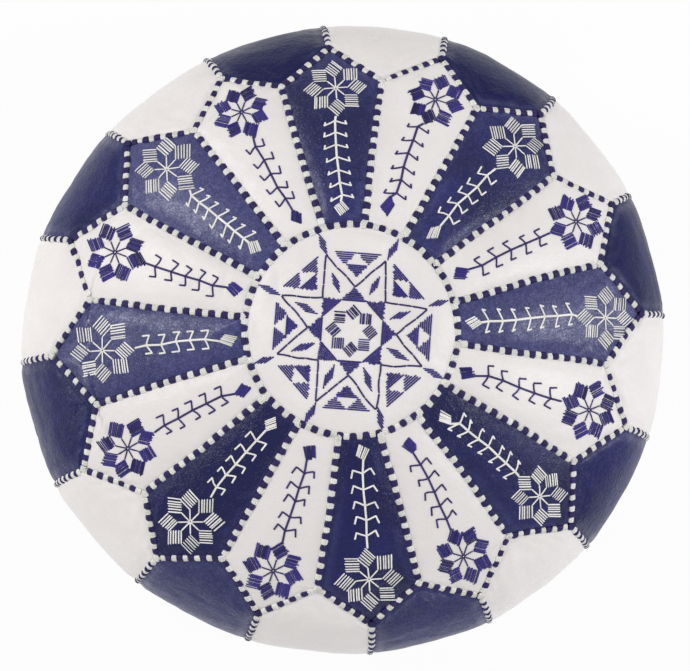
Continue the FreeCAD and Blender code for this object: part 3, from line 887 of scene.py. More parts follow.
class Finishes:
    """Every material of the pouf."""

    def __init__(self) -> None:
        """Build the shared groups, then each material."""
        grain, twist, cloth = hide_grain(), ply_twist(), weave()
        white = LeatherFinish(
            "white_leather", (0.75, 0.715, 0.705), (0.83, 0.797, 0.787), (0.70, 0.665, 0.65)
        )
        navy = LeatherFinish(
            "navy_leather",
            deep=(0.003, 0.005, 0.058),
            pale=(0.029, 0.031, 0.172),
            wear_and_sheen=(0.058, 0.060, 0.150),
            bump=0.8,
            relief=0.45 * MM,
            shine=0.14,
            polish=0.12,
            rubbed_gloss=0.55,
            crease_shade=0.75,
            pore_shade=0.9,
            ridge_sheen_and_wear=0.6,
            painted_light_dye=0.5,
            painted_light_gloss=0.25,
        )
        burnished = replace(
            navy,
            name="navy_leather_burnished",
            deep=(0.002, 0.003, 0.055),
            pale=(0.015, 0.017, 0.172),
            wear_and_sheen=(0.062, 0.064, 0.190),
            roughness=0.33,
            bump=1.0,
            relief=0.42 * MM,
            shine=0.25,
            polish=0.52,
            rubbed_gloss=0.62,
            ridge_sheen_and_wear=0.25,
            painted_light_dye=0.4,
            painted_light_gloss=0.6,
        )
        pale, dark, glossy = (hide.material(grain) for hide in (white, navy, burnished))
        self.side_leather = {Dye.WHITE: pale, Dye.NAVY: dark}
        self.top_leather = {Dye.WHITE: pale, Dye.NAVY: glossy}
        threads = [
            ThreadFinish("white_cord", (0.56, 0.55, 0.52), (0.93, 0.92, 0.885), 0.7, 0.25, 0.5),
            ThreadFinish("navy_cord", (0.006, 0.004, 0.032), (0.036, 0.026, 0.135), 0.55, 0.06),
            ThreadFinish("white_silk", (0.62, 0.61, 0.58), (0.97, 0.96, 0.93), 0.5, 0.25, 0.5),
            ThreadFinish("blue_silk", (0.008, 0.005, 0.058), (0.052, 0.037, 0.275), 0.42),
            ThreadFinish("violet_silk", (0.010, 0.006, 0.048), (0.048, 0.034, 0.170), 0.45),
        ]
        made = [thread.material(twist) for thread in threads]
        self.cords, self.white_silks, self.blue_silks = made[:2], [made[2]] * 2, made[3:]
        self.cotton = WovenFinish(
            "unbleached_cotton", (0.5, 0.46, 0.38), (0.74, 0.70, 0.62), yarns=1100.0
        ).material(cloth)
        self.tape = WovenFinish(
            "navy_tape", (0.008, 0.009, 0.03), (0.03, 0.032, 0.1), yarns=1300.0
        ).material(cloth)
        self.fibre = FibreFinish().material()
        self.brass = BrassFinish().material()


# ------------------------ leather


# painted light and shade: how much lighter and glossier some panels are painted than the rest, for the lamps'
# sheen on them, or darker where below 0, for the shade where less light falls, by their number
PETAL_PAINTED_LIGHT = {5: 0.85, 7: -0.8, 8: -0.8, 9: -1.2, 10: -0.8, 11: -1.0, 12: -0.6, 13: 0.7, 15: 1.2}
SIDE_PAINTED_LIGHT = {2: -1.2, 4: -1.1, 8: 0.4, 10: 0.8, 16: -1.2}


def ring(along: float) -> Callable[[Points], Points]:
    """Edge of a panel that keeps one distance from the crown."""
    return lambda turn: np.full(np.shape(turn), along)


@dataclass
class Pattern:
    """Outline of one leather panel on the form, and how finely it is worked."""

    near: Callable[[Points], Points]
    far: Callable[[Points], Points]
    rows: int
    columns: int
    cap: float
    half_turn: float = HALF_PITCH
    facet: float = 0.0
    roll: float = 0.0
    rim_roll: float = 0.7 * MM
    all_round: bool = False


@dataclass
class LeatherWork:
    """Panels of the cover: cut, laid on the form, swelled, creased and given their thickness."""

    form: Form
    finishes: Finishes
    tuck: float = 1.1 * MM
    tuck_width: float = 1.6 * MM
    roll_place: float = 7.0 * MM
    roll_width: float = 3.6 * MM
    tug: float = 0.75 * MM
    tug_size: float = 17.0 * MM
    edge_bias: float = 0.62
    round_bias: float = 0.3
    pucker: float = 0.28 * MM
    pucker_width: float = 3.2 * MM
    stitch_pair: float = 10.4 * MM
    dent: float = 1.0 * MM
    dent_size: float = 46.0 * MM
    ripple: float = 0.32 * MM
    ripple_size: float = 13.0 * MM
    wrinkle: float = 0.15 * MM
    wrinkle_size: float = 5.5 * MM
    crease: float = 0.55 * MM
    crease_size: float = 34.0 * MM
    fold: float = 0.65 * MM
    fold_count: int = 4
    fold_seed: int = 900
    cloth_frames: int = 20
    cloth_mass: float = 0.002
    pressure: float = 4.0
    stretch: float = 0.12
    bend: float = 0.003
    slip: float = 1.0 * MM

    def patterns(self) -> dict[str, Pattern]:
        """The three kinds of panel.

        Returns:
            Patterns by name.
        """
        form = self.form
        rim = ring(form.rim_along)
        top = Pattern(ring(0.0), rim, 20, 96, 3.0 * MM, half_turn=math.pi, all_round=True)
        petal = Pattern(rim, form.zigzag, 34, 20, 4.0 * MM, rim_roll=1.1 * MM)
        side = Pattern(
            near=lambda turn: form.zigzag(HALF_PITCH - np.abs(turn)),
            far=ring(form.base_along),
            rows=66,
            columns=22,
            cap=3.0 * MM,
            facet=3.4 * MM,
            roll=1.8 * MM,
        )
        return {"medallion": top, "petal": petal, "side_panel": side}

    def cut(self, name: str, pattern: Pattern) -> Object:
        """Cut one flat piece and lay it over the form, with its edges tucked into the seams.

        Args:
            name: Name of the piece.
            pattern: Its outline.

        Returns:
            An open sheet over the direction +X.
        """
        form = self.form
        deselect()
        bpy.ops.mesh.primitive_grid_add(x_subdivisions=pattern.rows, y_subdivisions=pattern.columns, size=1.0)
        sheet = added(name)
        flat = points_of(sheet)
        down, across = flat[:, 0] + 0.5, flat[:, 1] + 0.5
        down = self._biased(down, self.round_bias if pattern.all_round else self.edge_bias)
        if not pattern.all_round:
            across = self._biased(across, self.edge_bias)
        turn = (2 * across - 1) * pattern.half_turn
        near, far = pattern.near(turn), pattern.far(turn)
        start = 0.0 if pattern.all_round else SEAM_GAP / 2
        along = near + start + (far - near - start - SEAM_GAP / 2) * down
        radius = np.maximum(form.row(along)[0], 1e-6)
        if not pattern.all_round:
            turn = turn * (1 - SEAM_GAP / 2 / (radius * pattern.half_turn))
        seam = self._seam_distance(pattern, along, turn)
        level = form.row(along)[1] / form.equator
        flank = np.clip(1.4 * level - 0.2, 0, 1) * np.clip((along - near) / (60 * MM), 0, 1)
        lift = -self.tuck * np.exp(-seam / self.tuck_width)
        lift -= pattern.facet * flank * np.cos(0.5 * math.pi * turn / pattern.half_turn)
        lift += pattern.roll * self._ridge(along - near) + pattern.rim_roll * self._ridge(seam)
        set_points(sheet, form.place(along, turn, lift))
        store(sheet, "along", along)
        store(sheet, "seam", seam)
        if pattern.all_round:
            merge_close(sheet)
        return sheet

    def _ridge(self, distance: Points) -> Points:
        """Share, from 0 to 1, of the rounded ridge that stuffed leather makes beside a seam."""
        return np.exp(-(((distance - self.roll_place) / self.roll_width) ** 2))

    @staticmethod
    def _biased(share: Points, bias: float) -> Points:
        """Shares of a length, crowded towards both ends by a bias from 0 to 1."""
        return share - bias * np.sin(2 * math.pi * share) / (2 * math.pi)

    def _seam_distance(self, pattern: Pattern, along: Points, turn: Points) -> Points:
        """Distance from each place on a panel to its nearest edge.

        Args:
            pattern: The panel's outline.
            along: Distances from the crown.
            turn: Directions from the panel's middle.

        Returns:
            Distances over the leather.
        """
        distance = pattern.far(turn) - along
        if pattern.all_round:
            return distance
        side = self.form.row(along)[0] * np.sin(pattern.half_turn - np.abs(turn))
        return np.minimum(np.minimum(distance, along - pattern.near(turn)), side)

    def swell(self, sheet: Object, cap: float) -> None:
        """Let the filling push a panel out between its sewn edges.

        Args:
            sheet: The panel on the form.
            cap: The most that it may rise.
        """
        rest, facing = points_of(sheet), normals_of(sheet)
        sewn = sheet.vertex_groups.new(name="sewn")
        sewn.add(np.flatnonzero(stored(sheet, "seam") < SEAM_GAP).tolist(), 1.0, "REPLACE")
        take(sheet)
        bpy.ops.object.modifier_add(type="CLOTH")
        cloth = sheet.modifiers[-1]
        settings = cloth.settings
        settings.quality = 6
        settings.mass = self.cloth_mass
        settings.air_damping = 0.0
        for way in ("tension", "compression", "shear", "bending"):
            setattr(settings, way + "_stiffness", self.bend if way == "bending" else self.stretch)
            setattr(settings, way + "_damping", 0.1)
        settings.use_pressure = True
        settings.uniform_pressure_force = self.pressure
        settings.effector_weights.gravity = 0
        settings.vertex_group_mass = sewn.name
        cloth.point_cache.frame_start = 1
        cloth.point_cache.frame_end = self.cloth_frames
        for number in range(1, self.cloth_frames + 1):
            bpy.context.scene.frame_set(number)
        bpy.ops.object.modifier_apply(modifier=cloth.name)
        bpy.context.scene.frame_set(1)
        moved = points_of(sheet) - rest
        out = np.sum(moved * facing, axis=1)
        slide = moved - out[:, None] * facing
        LOG.info("%s swelled by %.1f mm at most", sheet.name, out.max() / MM)
        far = np.linalg.norm(slide, axis=1, keepdims=True)
        slide *= np.minimum(1, self.slip / np.maximum(far, 1e-9))
        set_points(sheet, rest + facing * (cap * np.tanh(out / cap))[:, None] + slide)
        sheet.vertex_groups.clear()

    def panel(self, template: Object, node: str, turn: float, seed: int) -> Object:
        """Copy a swelled panel to its place and crease it in its own way.

        Args:
            template: The swelled panel over +X.
            node: Node of the frame that the copy stands for.
            turn: Direction of the copy.
            seed: Number that its creases follow.

        Returns:
            The placed sheet, without thickness.
        """
        sheet = template.copy()
        sheet.data = template.data.copy()
        sheet.name = sheet.data.name = node + "_leather"
        bpy.context.scene.collection.objects.link(sheet)
        x, y, z = points_of(sheet).T
        cos, sin = math.cos(turn), math.sin(turn)
        spun = np.column_stack([x * cos - y * sin, x * sin + y * cos, z])
        set_points(sheet, spun)
        facing = normals_of(sheet)
        along, seam = stored(sheet, "along"), stored(sheet, "seam")
        push = self._dents(spun, seed) * np.clip(seam / (7 * MM), 0, 1)
        push += self._puckers(spun, along, seam)
        push += self._tugs(spun, seam, seed)
        push += self._folds(along, y, seam, seed)
        placed = self.form.settle(spun + facing * push[:, None])
        placed[:, 2] = np.maximum(placed[:, 2], 0.0)
        set_points(sheet, placed)
        smooth(sheet)
        return sheet

    def _dents(self, points: Points, seed: int) -> Points:
        """Soft dents, ripples, wrinkles and creases of stuffed leather.

        Args:
            points: Places on the panel.
            seed: Number that sets this panel's own dents.

        Returns:
            Heights over the smooth panel.
        """
        shift = Vector((seed * 1.37, seed * -0.71, seed * 0.53))
        out = self.dent * noise_at(points, 1 / self.dent_size, shift)
        out += self.ripple * noise_at(points, 1 / self.ripple_size, -shift)
        fold = 1 - np.abs(noise_at(points, 1 / self.crease_size, shift * 2))
        mask = np.maximum(0.0, noise_at(points, 22.0, -shift) + 0.12)
        out -= self.crease * fold**14 * mask * 2.2
        wrinkled = np.clip(0.6 + 2.2 * noise_at(points, 30.0, shift), 0, 1)
        return out + self.wrinkle * noise_at(points, 1 / self.wrinkle_size, shift) * wrinkled

    def _folds(self, along: Points, aside: Points, seam: Points, seed: int) -> Points:
        """A few long, slightly curved folds where the stuffed hide has slackened.

        Args:
            along: Distances of the panel's places from the crown.
            aside: Their distances to the left of the panel's middle line.
            seam: Their distances from the nearest edge.
            seed: Number that sets this panel's own folds.

        Returns:
            Heights over the smooth panel.
        """
        random = np.random.default_rng(self.fold_seed + seed)
        out = np.zeros(len(along))
        for _ in range(self.fold_count):
            down = random.uniform(along.min(), along.max())
            left = random.uniform(-0.8, 0.8) * np.abs(aside).max()
            lean = random.normal(0, math.radians(32))
            run = (along - down) * math.cos(lean) + (aside - left) * math.sin(lean)
            off = (aside - left) * math.cos(lean) - (along - down) * math.sin(lean)
            off = off + run**2 * random.uniform(-5.0, 5.0)
            reach = random.uniform(9, 24) * MM
            width = random.uniform(2.8, 4.8) * MM
            height = self.fold * random.uniform(-0.7, 1.0)
            out += height * np.exp(-((off / width) ** 2) - (run / reach) ** 4)
        return out * np.clip(seam / (5 * MM), 0, 1)

    def _tugs(self, points: Points, seam: Points, seed: int) -> Points:
        """Uneven rises where tight and loose stitches follow each other along a seam.

        Args:
            points: Places on the panel.
            seam: Their distances from the nearest edge.
            seed: Number that sets this panel's own rises.

        Returns:
            Heights over the smooth panel.
        """
        rise = noise_at(points, 1 / self.tug_size, Vector((seed * 0.37, seed * 0.91, 0.0)))
        return self.tug * rise * np.exp(-seam / (9 * MM)) * np.clip(seam / (2 * MM), 0, 1)

    def _puckers(self, points: Points, along: Points, seam: Points) -> Points:
        """Small pulls that each pair of stitches makes beside a seam.

        Args:
            points: Places on the panel.
            along: Their distances from the crown.
            seam: Their distances from the nearest edge.

        Returns:
            Heights over the smooth panel.
        """
        turn = np.arctan2(points[:, 1], points[:, 0])
        radius = np.hypot(points[:, 0], points[:, 1])
        run = along + radius * np.abs(np.sin(turn * PETALS / 2))
        wave = np.cos(2 * math.pi * run / self.stitch_pair)
        return self.pucker * wave * np.exp(-seam / self.pucker_width) * np.clip(seam / (0.8 * MM), 0, 1)

    def make(self) -> Surface:
        """Make every panel of the top and sides.

        Returns:
            The surface that threads are laid on.
        """
        templates = {}
        for name, pattern in self.patterns().items():
            sheet = self.cut(name + "_pattern", pattern)
            puff = self.swell
            puff(sheet, pattern.cap)
            apply_modifier(sheet, "SUBSURF", levels=1, render_levels=1, boundary_smooth="PRESERVE_CORNERS")
            templates[name] = sheet
        jobs = [("medallion", "medallion", 0.0, Dye.WHITE, 0.0)]
        for number in range(1, PETALS + 1):
            petal_dye, side_dye = (Dye.NAVY, Dye.WHITE) if number % 2 else (Dye.WHITE, Dye.NAVY)
            spin = -PITCH * (number - 1)
            # each panel's painted light and shade, from the tables above
            petal_painted_light, side_painted_light = PETAL_PAINTED_LIGHT.get(number, 0.0), SIDE_PAINTED_LIGHT.get(number, 0.0)
            jobs.append(("petal", f"petal_{number:02d}", FIRST_PETAL + spin, petal_dye, petal_painted_light))
            jobs.append(("side_panel", f"side_panel_{number:02d}", FIRST_SIDE + spin, side_dye, side_painted_light))
        panels = []
        for seed, (kind, node, turn, _, _) in enumerate(jobs, 1):
            panels.append(self.panel(templates[kind], node, turn, seed))
        surface = Surface(panels)
        for panel, (kind, node, _, dye, painted_light) in zip(panels, jobs):
            # kept on the panel for its material, which paints it lighter and glossier, or darker, by this
            store(panel, "painted_light", np.full(len(panel.data.vertices), painted_light))
            thicken(panel)
            hides = self.finishes.side_leather if kind == "side_panel" else self.finishes.top_leather
            finish_piece(panel, [hides[dye]], [node])
        for template in templates.values():
            bpy.data.objects.remove(template)
        return surface


# ------------------------ thread


@dataclass
class ThreadShape:
    """One small thread shape that is modelled once and copied many times."""

    points: Points
    faces: list[tuple[int, ...]]
    round_about: Points

    @classmethod
    def from_object(cls, obj: Object) -> "ThreadShape":
        """Read a modelled shape and remove its object.

        Args:
            obj: The shape, which runs along X.

        Returns:
            The shape's points and faces.
        """
        points = points_of(obj)
        faces = [tuple(face.vertices) for face in obj.data.polygons]
        angle = np.arctan2(points[:, 2], points[:, 1]) / (2 * math.pi)
        bpy.data.objects.remove(obj)
        return cls(points, faces, angle)


@dataclass
class ThreadBench:
    """Models the two thread shapes: a single strand, and a block of strands over a seam."""

    strand_cuts: tuple[float, ...] = (0.06, 0.2, 0.5, 0.8, 0.94)
    strand_sides: int = 6
    drawn: float = 0.55
    block_strands: int = 4
    block_rows: int = 4

    def strand(self) -> ThreadShape:
        """One strand from x = 0 to 1, one unit thick, drawn in at both ends.

        Returns:
            The shape.
        """
        deselect()
        bpy.ops.mesh.primitive_cylinder_add(
            vertices=self.strand_sides,
            radius=0.5,
            depth=1.0,
            location=(0.5, 0, 0),
            rotation=(0, math.pi / 2, 0),
        )
        strand = added("strand")
        bpy.ops.object.transform_apply(location=True, rotation=True, scale=True)
        with editing(strand):
            for cut in self.strand_cuts:
                bpy.ops.mesh.select_all(action="SELECT")
                bpy.ops.mesh.bisect(plane_co=(cut, 0, 0), plane_no=(1, 0, 0))
        for end in (0.0, 1.0):
            with editing(strand, "DESELECT"):
                pass
            for vertex in strand.data.vertices:
                vertex.select = abs(vertex.co.x - end) < 1e-4
            with editing(strand, ""):
                bpy.ops.transform.resize(value=(1, self.drawn, self.drawn), center_override=(end, 0, 0))
        return ThreadShape.from_object(strand)

    def block(self) -> ThreadShape:
        """Block of strands side by side along X that arch over the seam across Y, one unit each way.

        Returns:
            The shape.
        """
        deselect()
        strips = 2 * self.block_strands
        bpy.ops.mesh.primitive_grid_add(x_subdivisions=strips, y_subdivisions=self.block_rows, size=1.0)
        block = added("block")
        with editing(block):
            bpy.ops.mesh.extrude_region_move(TRANSFORM_OT_translate={"value": (0, 0, 1)})
            bpy.ops.mesh.select_all(action="DESELECT")
            bpy.ops.mesh.select_non_manifold()
            bpy.ops.mesh.edge_face_add()
            bpy.ops.mesh.select_all(action="SELECT")
            bpy.ops.mesh.normals_make_consistent(inside=False)
        points = points_of(block)
        x, y, top = points[:, 0], points[:, 1], points[:, 2] > 0.5
        crest = 0.5 - 0.5 * np.cos(2 * math.pi * self.block_strands * (x + 0.5))
        arch = np.maximum(np.cos(math.pi * y), 0) ** 0.55
        points[:, 2] = np.where(top, 0.1 + (0.45 + 0.45 * crest) * arch, 0.0)
        points[:, 0] = x * (1 - 0.2 * np.abs(2 * y) ** 4)
        points[:, 1] = y * (0.82 + 0.1 * crest + 0.08 * (1 - np.abs(2 * x) ** 3))
        set_points(block, points)
        return ThreadShape.from_object(block)


class ThreadPile:
    """Copies of thread shapes gathered into one piece."""

    def __init__(self) -> None:
        """Start empty."""
        self.points: list[Points] = []
        self.faces: list[tuple[int, ...]] = []
        self.dyes: list[int] = []
        self.tints: list[Points] = []
        self.plies: list[Pair] = []
        self.total = 0

    def add(self, shape: ThreadShape, placed: Points, run: Points, dye: int, tint: float) -> None:
        """Add one copy.

        Args:
            shape: The shape that was copied.
            placed: Where its points are.
            run: Each point's distance along the thread.
            dye: Number of its material.
            tint: How light it is, from 0 to 1.
        """
        self.points.append(placed)
        for face in shape.faces:
            self.faces.append(tuple(self.total + vertex for vertex in face))
            self.dyes.append(dye)
            first = shape.round_about[face[0]]
            for vertex in face:
                about = shape.round_about[vertex]
                about += round(first - about)
                self.plies.append((run[vertex], about))
        self.tints.append(np.full(len(placed), tint))
        self.total += len(placed)

    def finish(self, name: str, materials: Sequence[Material], slot: str, node: str) -> None:
        """Make the gathered copies one dressed piece.

        Args:
            name: The piece's name.
            materials: Its materials, by number.
            slot: Not used; callers give the name of a finish in the frame's record.
            node: Node of the frame that it stands for.
        """
        mesh = bpy.data.meshes.new(name)
        mesh.from_pydata(np.concatenate(self.points).tolist(), [], self.faces)
        mesh.polygons.foreach_set("material_index", self.dyes)
        mesh.polygons.foreach_set("use_smooth", [True] * len(self.faces))
        layer = mesh.uv_layers.new(name="ply")
        layer.data.foreach_set("uv", np.array(self.plies, np.float32).ravel())
        piece = bpy.data.objects.new(name, mesh)
        bpy.context.scene.collection.objects.link(piece)
        store(piece, "tint", np.concatenate(self.tints))
        mesh.update()
        finish_piece(piece, materials, [node])


@dataclass
class SeamWork:
    """Whip-stitched seams in blocks of white and navy cord by turns."""

    form: Form
    finishes: Finishes
    surface: Surface
    shape: ThreadShape
    width: float = 5.7 * MM
    height: float = 2.0 * MM
    sink: float = 0.25 * MM
    block: float = 5.2 * MM
    junction: float = 3.4 * MM
    reach: float = 8.0 * MM
    foot_gap: float = 2.5 * MM
    knot_leans: tuple[float, ...] = (-0.7, 0.75, 1.57)
    seed: int = 11

    def __post_init__(self) -> None:
        """Start the random numbers and the first seam."""
        self.random = np.random.default_rng(self.seed)
        self.pile = ThreadPile()

    def sew(self, along: Points, turn: Points, closed: bool = False, first: int = 0) -> None:
        """Lay blocks along a line on the form, by its distances from the crown and directions."""
        line = self.form.settle(self.form.place(along, turn))
        self.sew_line(line, self.form.facing(along, turn), closed, first)

    def sew_line(
        self, line: Points, facing: Points, closed: bool = False, first: int = 0, height: float | None = None
    ) -> None:
        """Lay blocks along a line in space.

        Args:
            line: Points of the line.
            facing: Outward direction at each.
            closed: Whether the line goes all round.
            first: Dye of the first block.
            height: Height of the blocks, if it isn't the usual one.
        """
        steps = np.linalg.norm(np.diff(line, axis=0), axis=1)
        run = np.concatenate([[0], np.cumsum(steps)])
        count = max(2, round(run[-1] / self.block))
        if closed:
            count += count % 2
        length = run[-1] / count
        for index in range(count):
            middle = (index + 0.5) * length
            centre, out = read_at(middle, run, line), unit(read_at(middle, run, facing))
            ahead = unit(read_at(middle + MM, run, line) - read_at(middle - MM, run, line))
            self.stamp(centre, ahead, out, length, (index + first) % 2, height or self.height)

    def stamp(
        self, centre: Points, ahead: Points, out: Points, length: float, dye: int, height: float
    ) -> None:
        """Lay one block over the seam, resting on the leather at both sides.

        Args:
            centre: Its middle on the seam.
            ahead: Direction of the seam.
            out: Outward direction.
            length: Its length along the seam.
            dye: Number of its material.
            height: Its usual height.
        """
        random = self.random
        out = unit(out - ahead * float(out @ ahead))
        across = np.cross(out, ahead)
        angle = random.normal(0, math.radians(5.0))
        cos, sin = math.cos(angle), math.sin(angle)
        ahead, across = ahead * cos + across * sin, across * cos - ahead * sin
        wide = self.width * random.uniform(0.92, 1.12)
        tall = height * random.uniform(0.88, 1.1)
        long = length * (random.uniform(0.86, 0.98) if dye == 0 else random.uniform(0.9, 1.02))
        centre = centre + across * random.normal(0, 0.2 * MM)
        rests = []
        for side in (-0.5, 0.5):
            place, _ = self.surface.land(centre + across * wide * side, out, self.reach)
            rests.append(float((place - centre) @ out))
        x, y, z = self.shape.points.T
        base = (rests[0] + rests[1]) / 2 + (rests[1] - rests[0]) * y - self.sink
        placed = centre + np.outer(x * long, ahead) + np.outer(y * wide, across)
        placed += np.outer(base + z * tall, out)
        placed[:, 2] = np.maximum(placed[:, 2], 0.0)
        self.pile.add(self.shape, placed, y * wide, dye, random.uniform(0.55, 1.0))

    def knot_at(self, along: float, turn: float, dye: int) -> None:
        """Cluster of crossed cords where seams meet.

        Args:
            along: Distance from the crown.
            turn: Direction round the axis.
            dye: Number of the material.
        """
        place = np.array([along]), np.array([turn])
        centre = self.form.settle(self.form.place(*place))[0]
        out = self.form.facing(*place)[0]
        side = unit(np.cross(out, np.array([math.cos(turn), math.sin(turn), 0.0]) + 1e-6))
        forward = np.cross(side, out)
        for lean in self.knot_leans:
            ahead = unit(forward * math.cos(lean) + side * math.sin(lean))
            shift = centre + ahead * self.random.normal(0, 0.5 * MM)
            self.stamp(shift, ahead, out, self.block, dye, self.height * (1.1 + 0.08 * lean))

    def finish(self, node: str) -> None:
        """Make the blocks laid so far one dressed piece for a node, and start the next."""
        self.pile.finish(node + "_cord", self.finishes.cords, "seam_thread", node)
        self.pile = ThreadPile()

    def make(self) -> None:
        """Sew every seam of the cover."""
        form = self.form
        rim = form.rim_along
        tip, valley = (float(form.zigzag(away)) for away in (0.0, HALF_PITCH))
        petals = [FIRST_PETAL - PITCH * index for index in range(PETALS)]
        around = np.linspace(0, 2 * math.pi, 721)
        self.sew(np.full(len(around), rim), around, closed=True)
        self.finish("medallion_seam")

        for index in range(PETALS):
            turn = FIRST_SIDE - PITCH * index
            along = np.linspace(rim + self.junction, valley - self.junction, 60)
            self.sew(along, np.full(len(along), turn), first=int(self.random.integers(2)))
            self.knot_at(rim + self.junction * 0.6, turn, 0)
            self.knot_at(valley, turn, 0)
        self.finish("petal_seams")

        away = np.linspace(HALF_PITCH * 0.055, HALF_PITCH * 0.94, 40)
        for turn in petals:
            for side in (-1, 1):
                self.sew(form.zigzag(away), turn + side * away, first=int(self.random.integers(2)))
            self.knot_at(tip, turn, int(self.random.integers(2)))
        self.finish("tip_seams")

        for turn in petals:
            along = np.linspace(tip + self.junction, form.foot_along - self.foot_gap, 160)
            self.sew(along, np.full(len(along), turn))
        self.finish("side_seams")

        circle = form.place(np.full(len(around), form.base_along), around)
        self.sew_line(circle, np.tile([0.0, 0.0, -1.0], (len(around), 1)), closed=True)
        self.finish("base_seam")


# ------------------------ embroidery


SATIN, LINE = 0, 1


@dataclass(frozen=True)
class Branch:
    """One pair of hooked side stitches on a stem, and where the pairs start and end."""

    reach: float
    slope: float
    hook: float
    lean: float
    stem_width: float
    from_flower: float
    from_bud: float

    @classmethod
    def close_set(cls) -> "Branch":
        """Long arms with curled ends, set from flower to bud on a thick stem."""
        return cls(9.0 * MM, 3.8 * MM, 3.4 * MM, -1.2 * MM, 1.85 * MM, 4.0 * MM, 4.5 * MM)

    @classmethod
    def wide_set(cls, lean: float) -> "Branch":
        """Shorter arms with straight barbs that lean, clear of flower and bud."""
        return cls(7.3 * MM, 3.4 * MM, 5.8 * MM, lean, 1.7 * MM, 9.5 * MM, 10.5 * MM)


@dataclass(frozen=True)
class Satin:
    """How closely, widely and unevenly a flower's patches are filled."""

    flower_count: int
    bud_count: int
    width: float
    ragged: float
    size: float


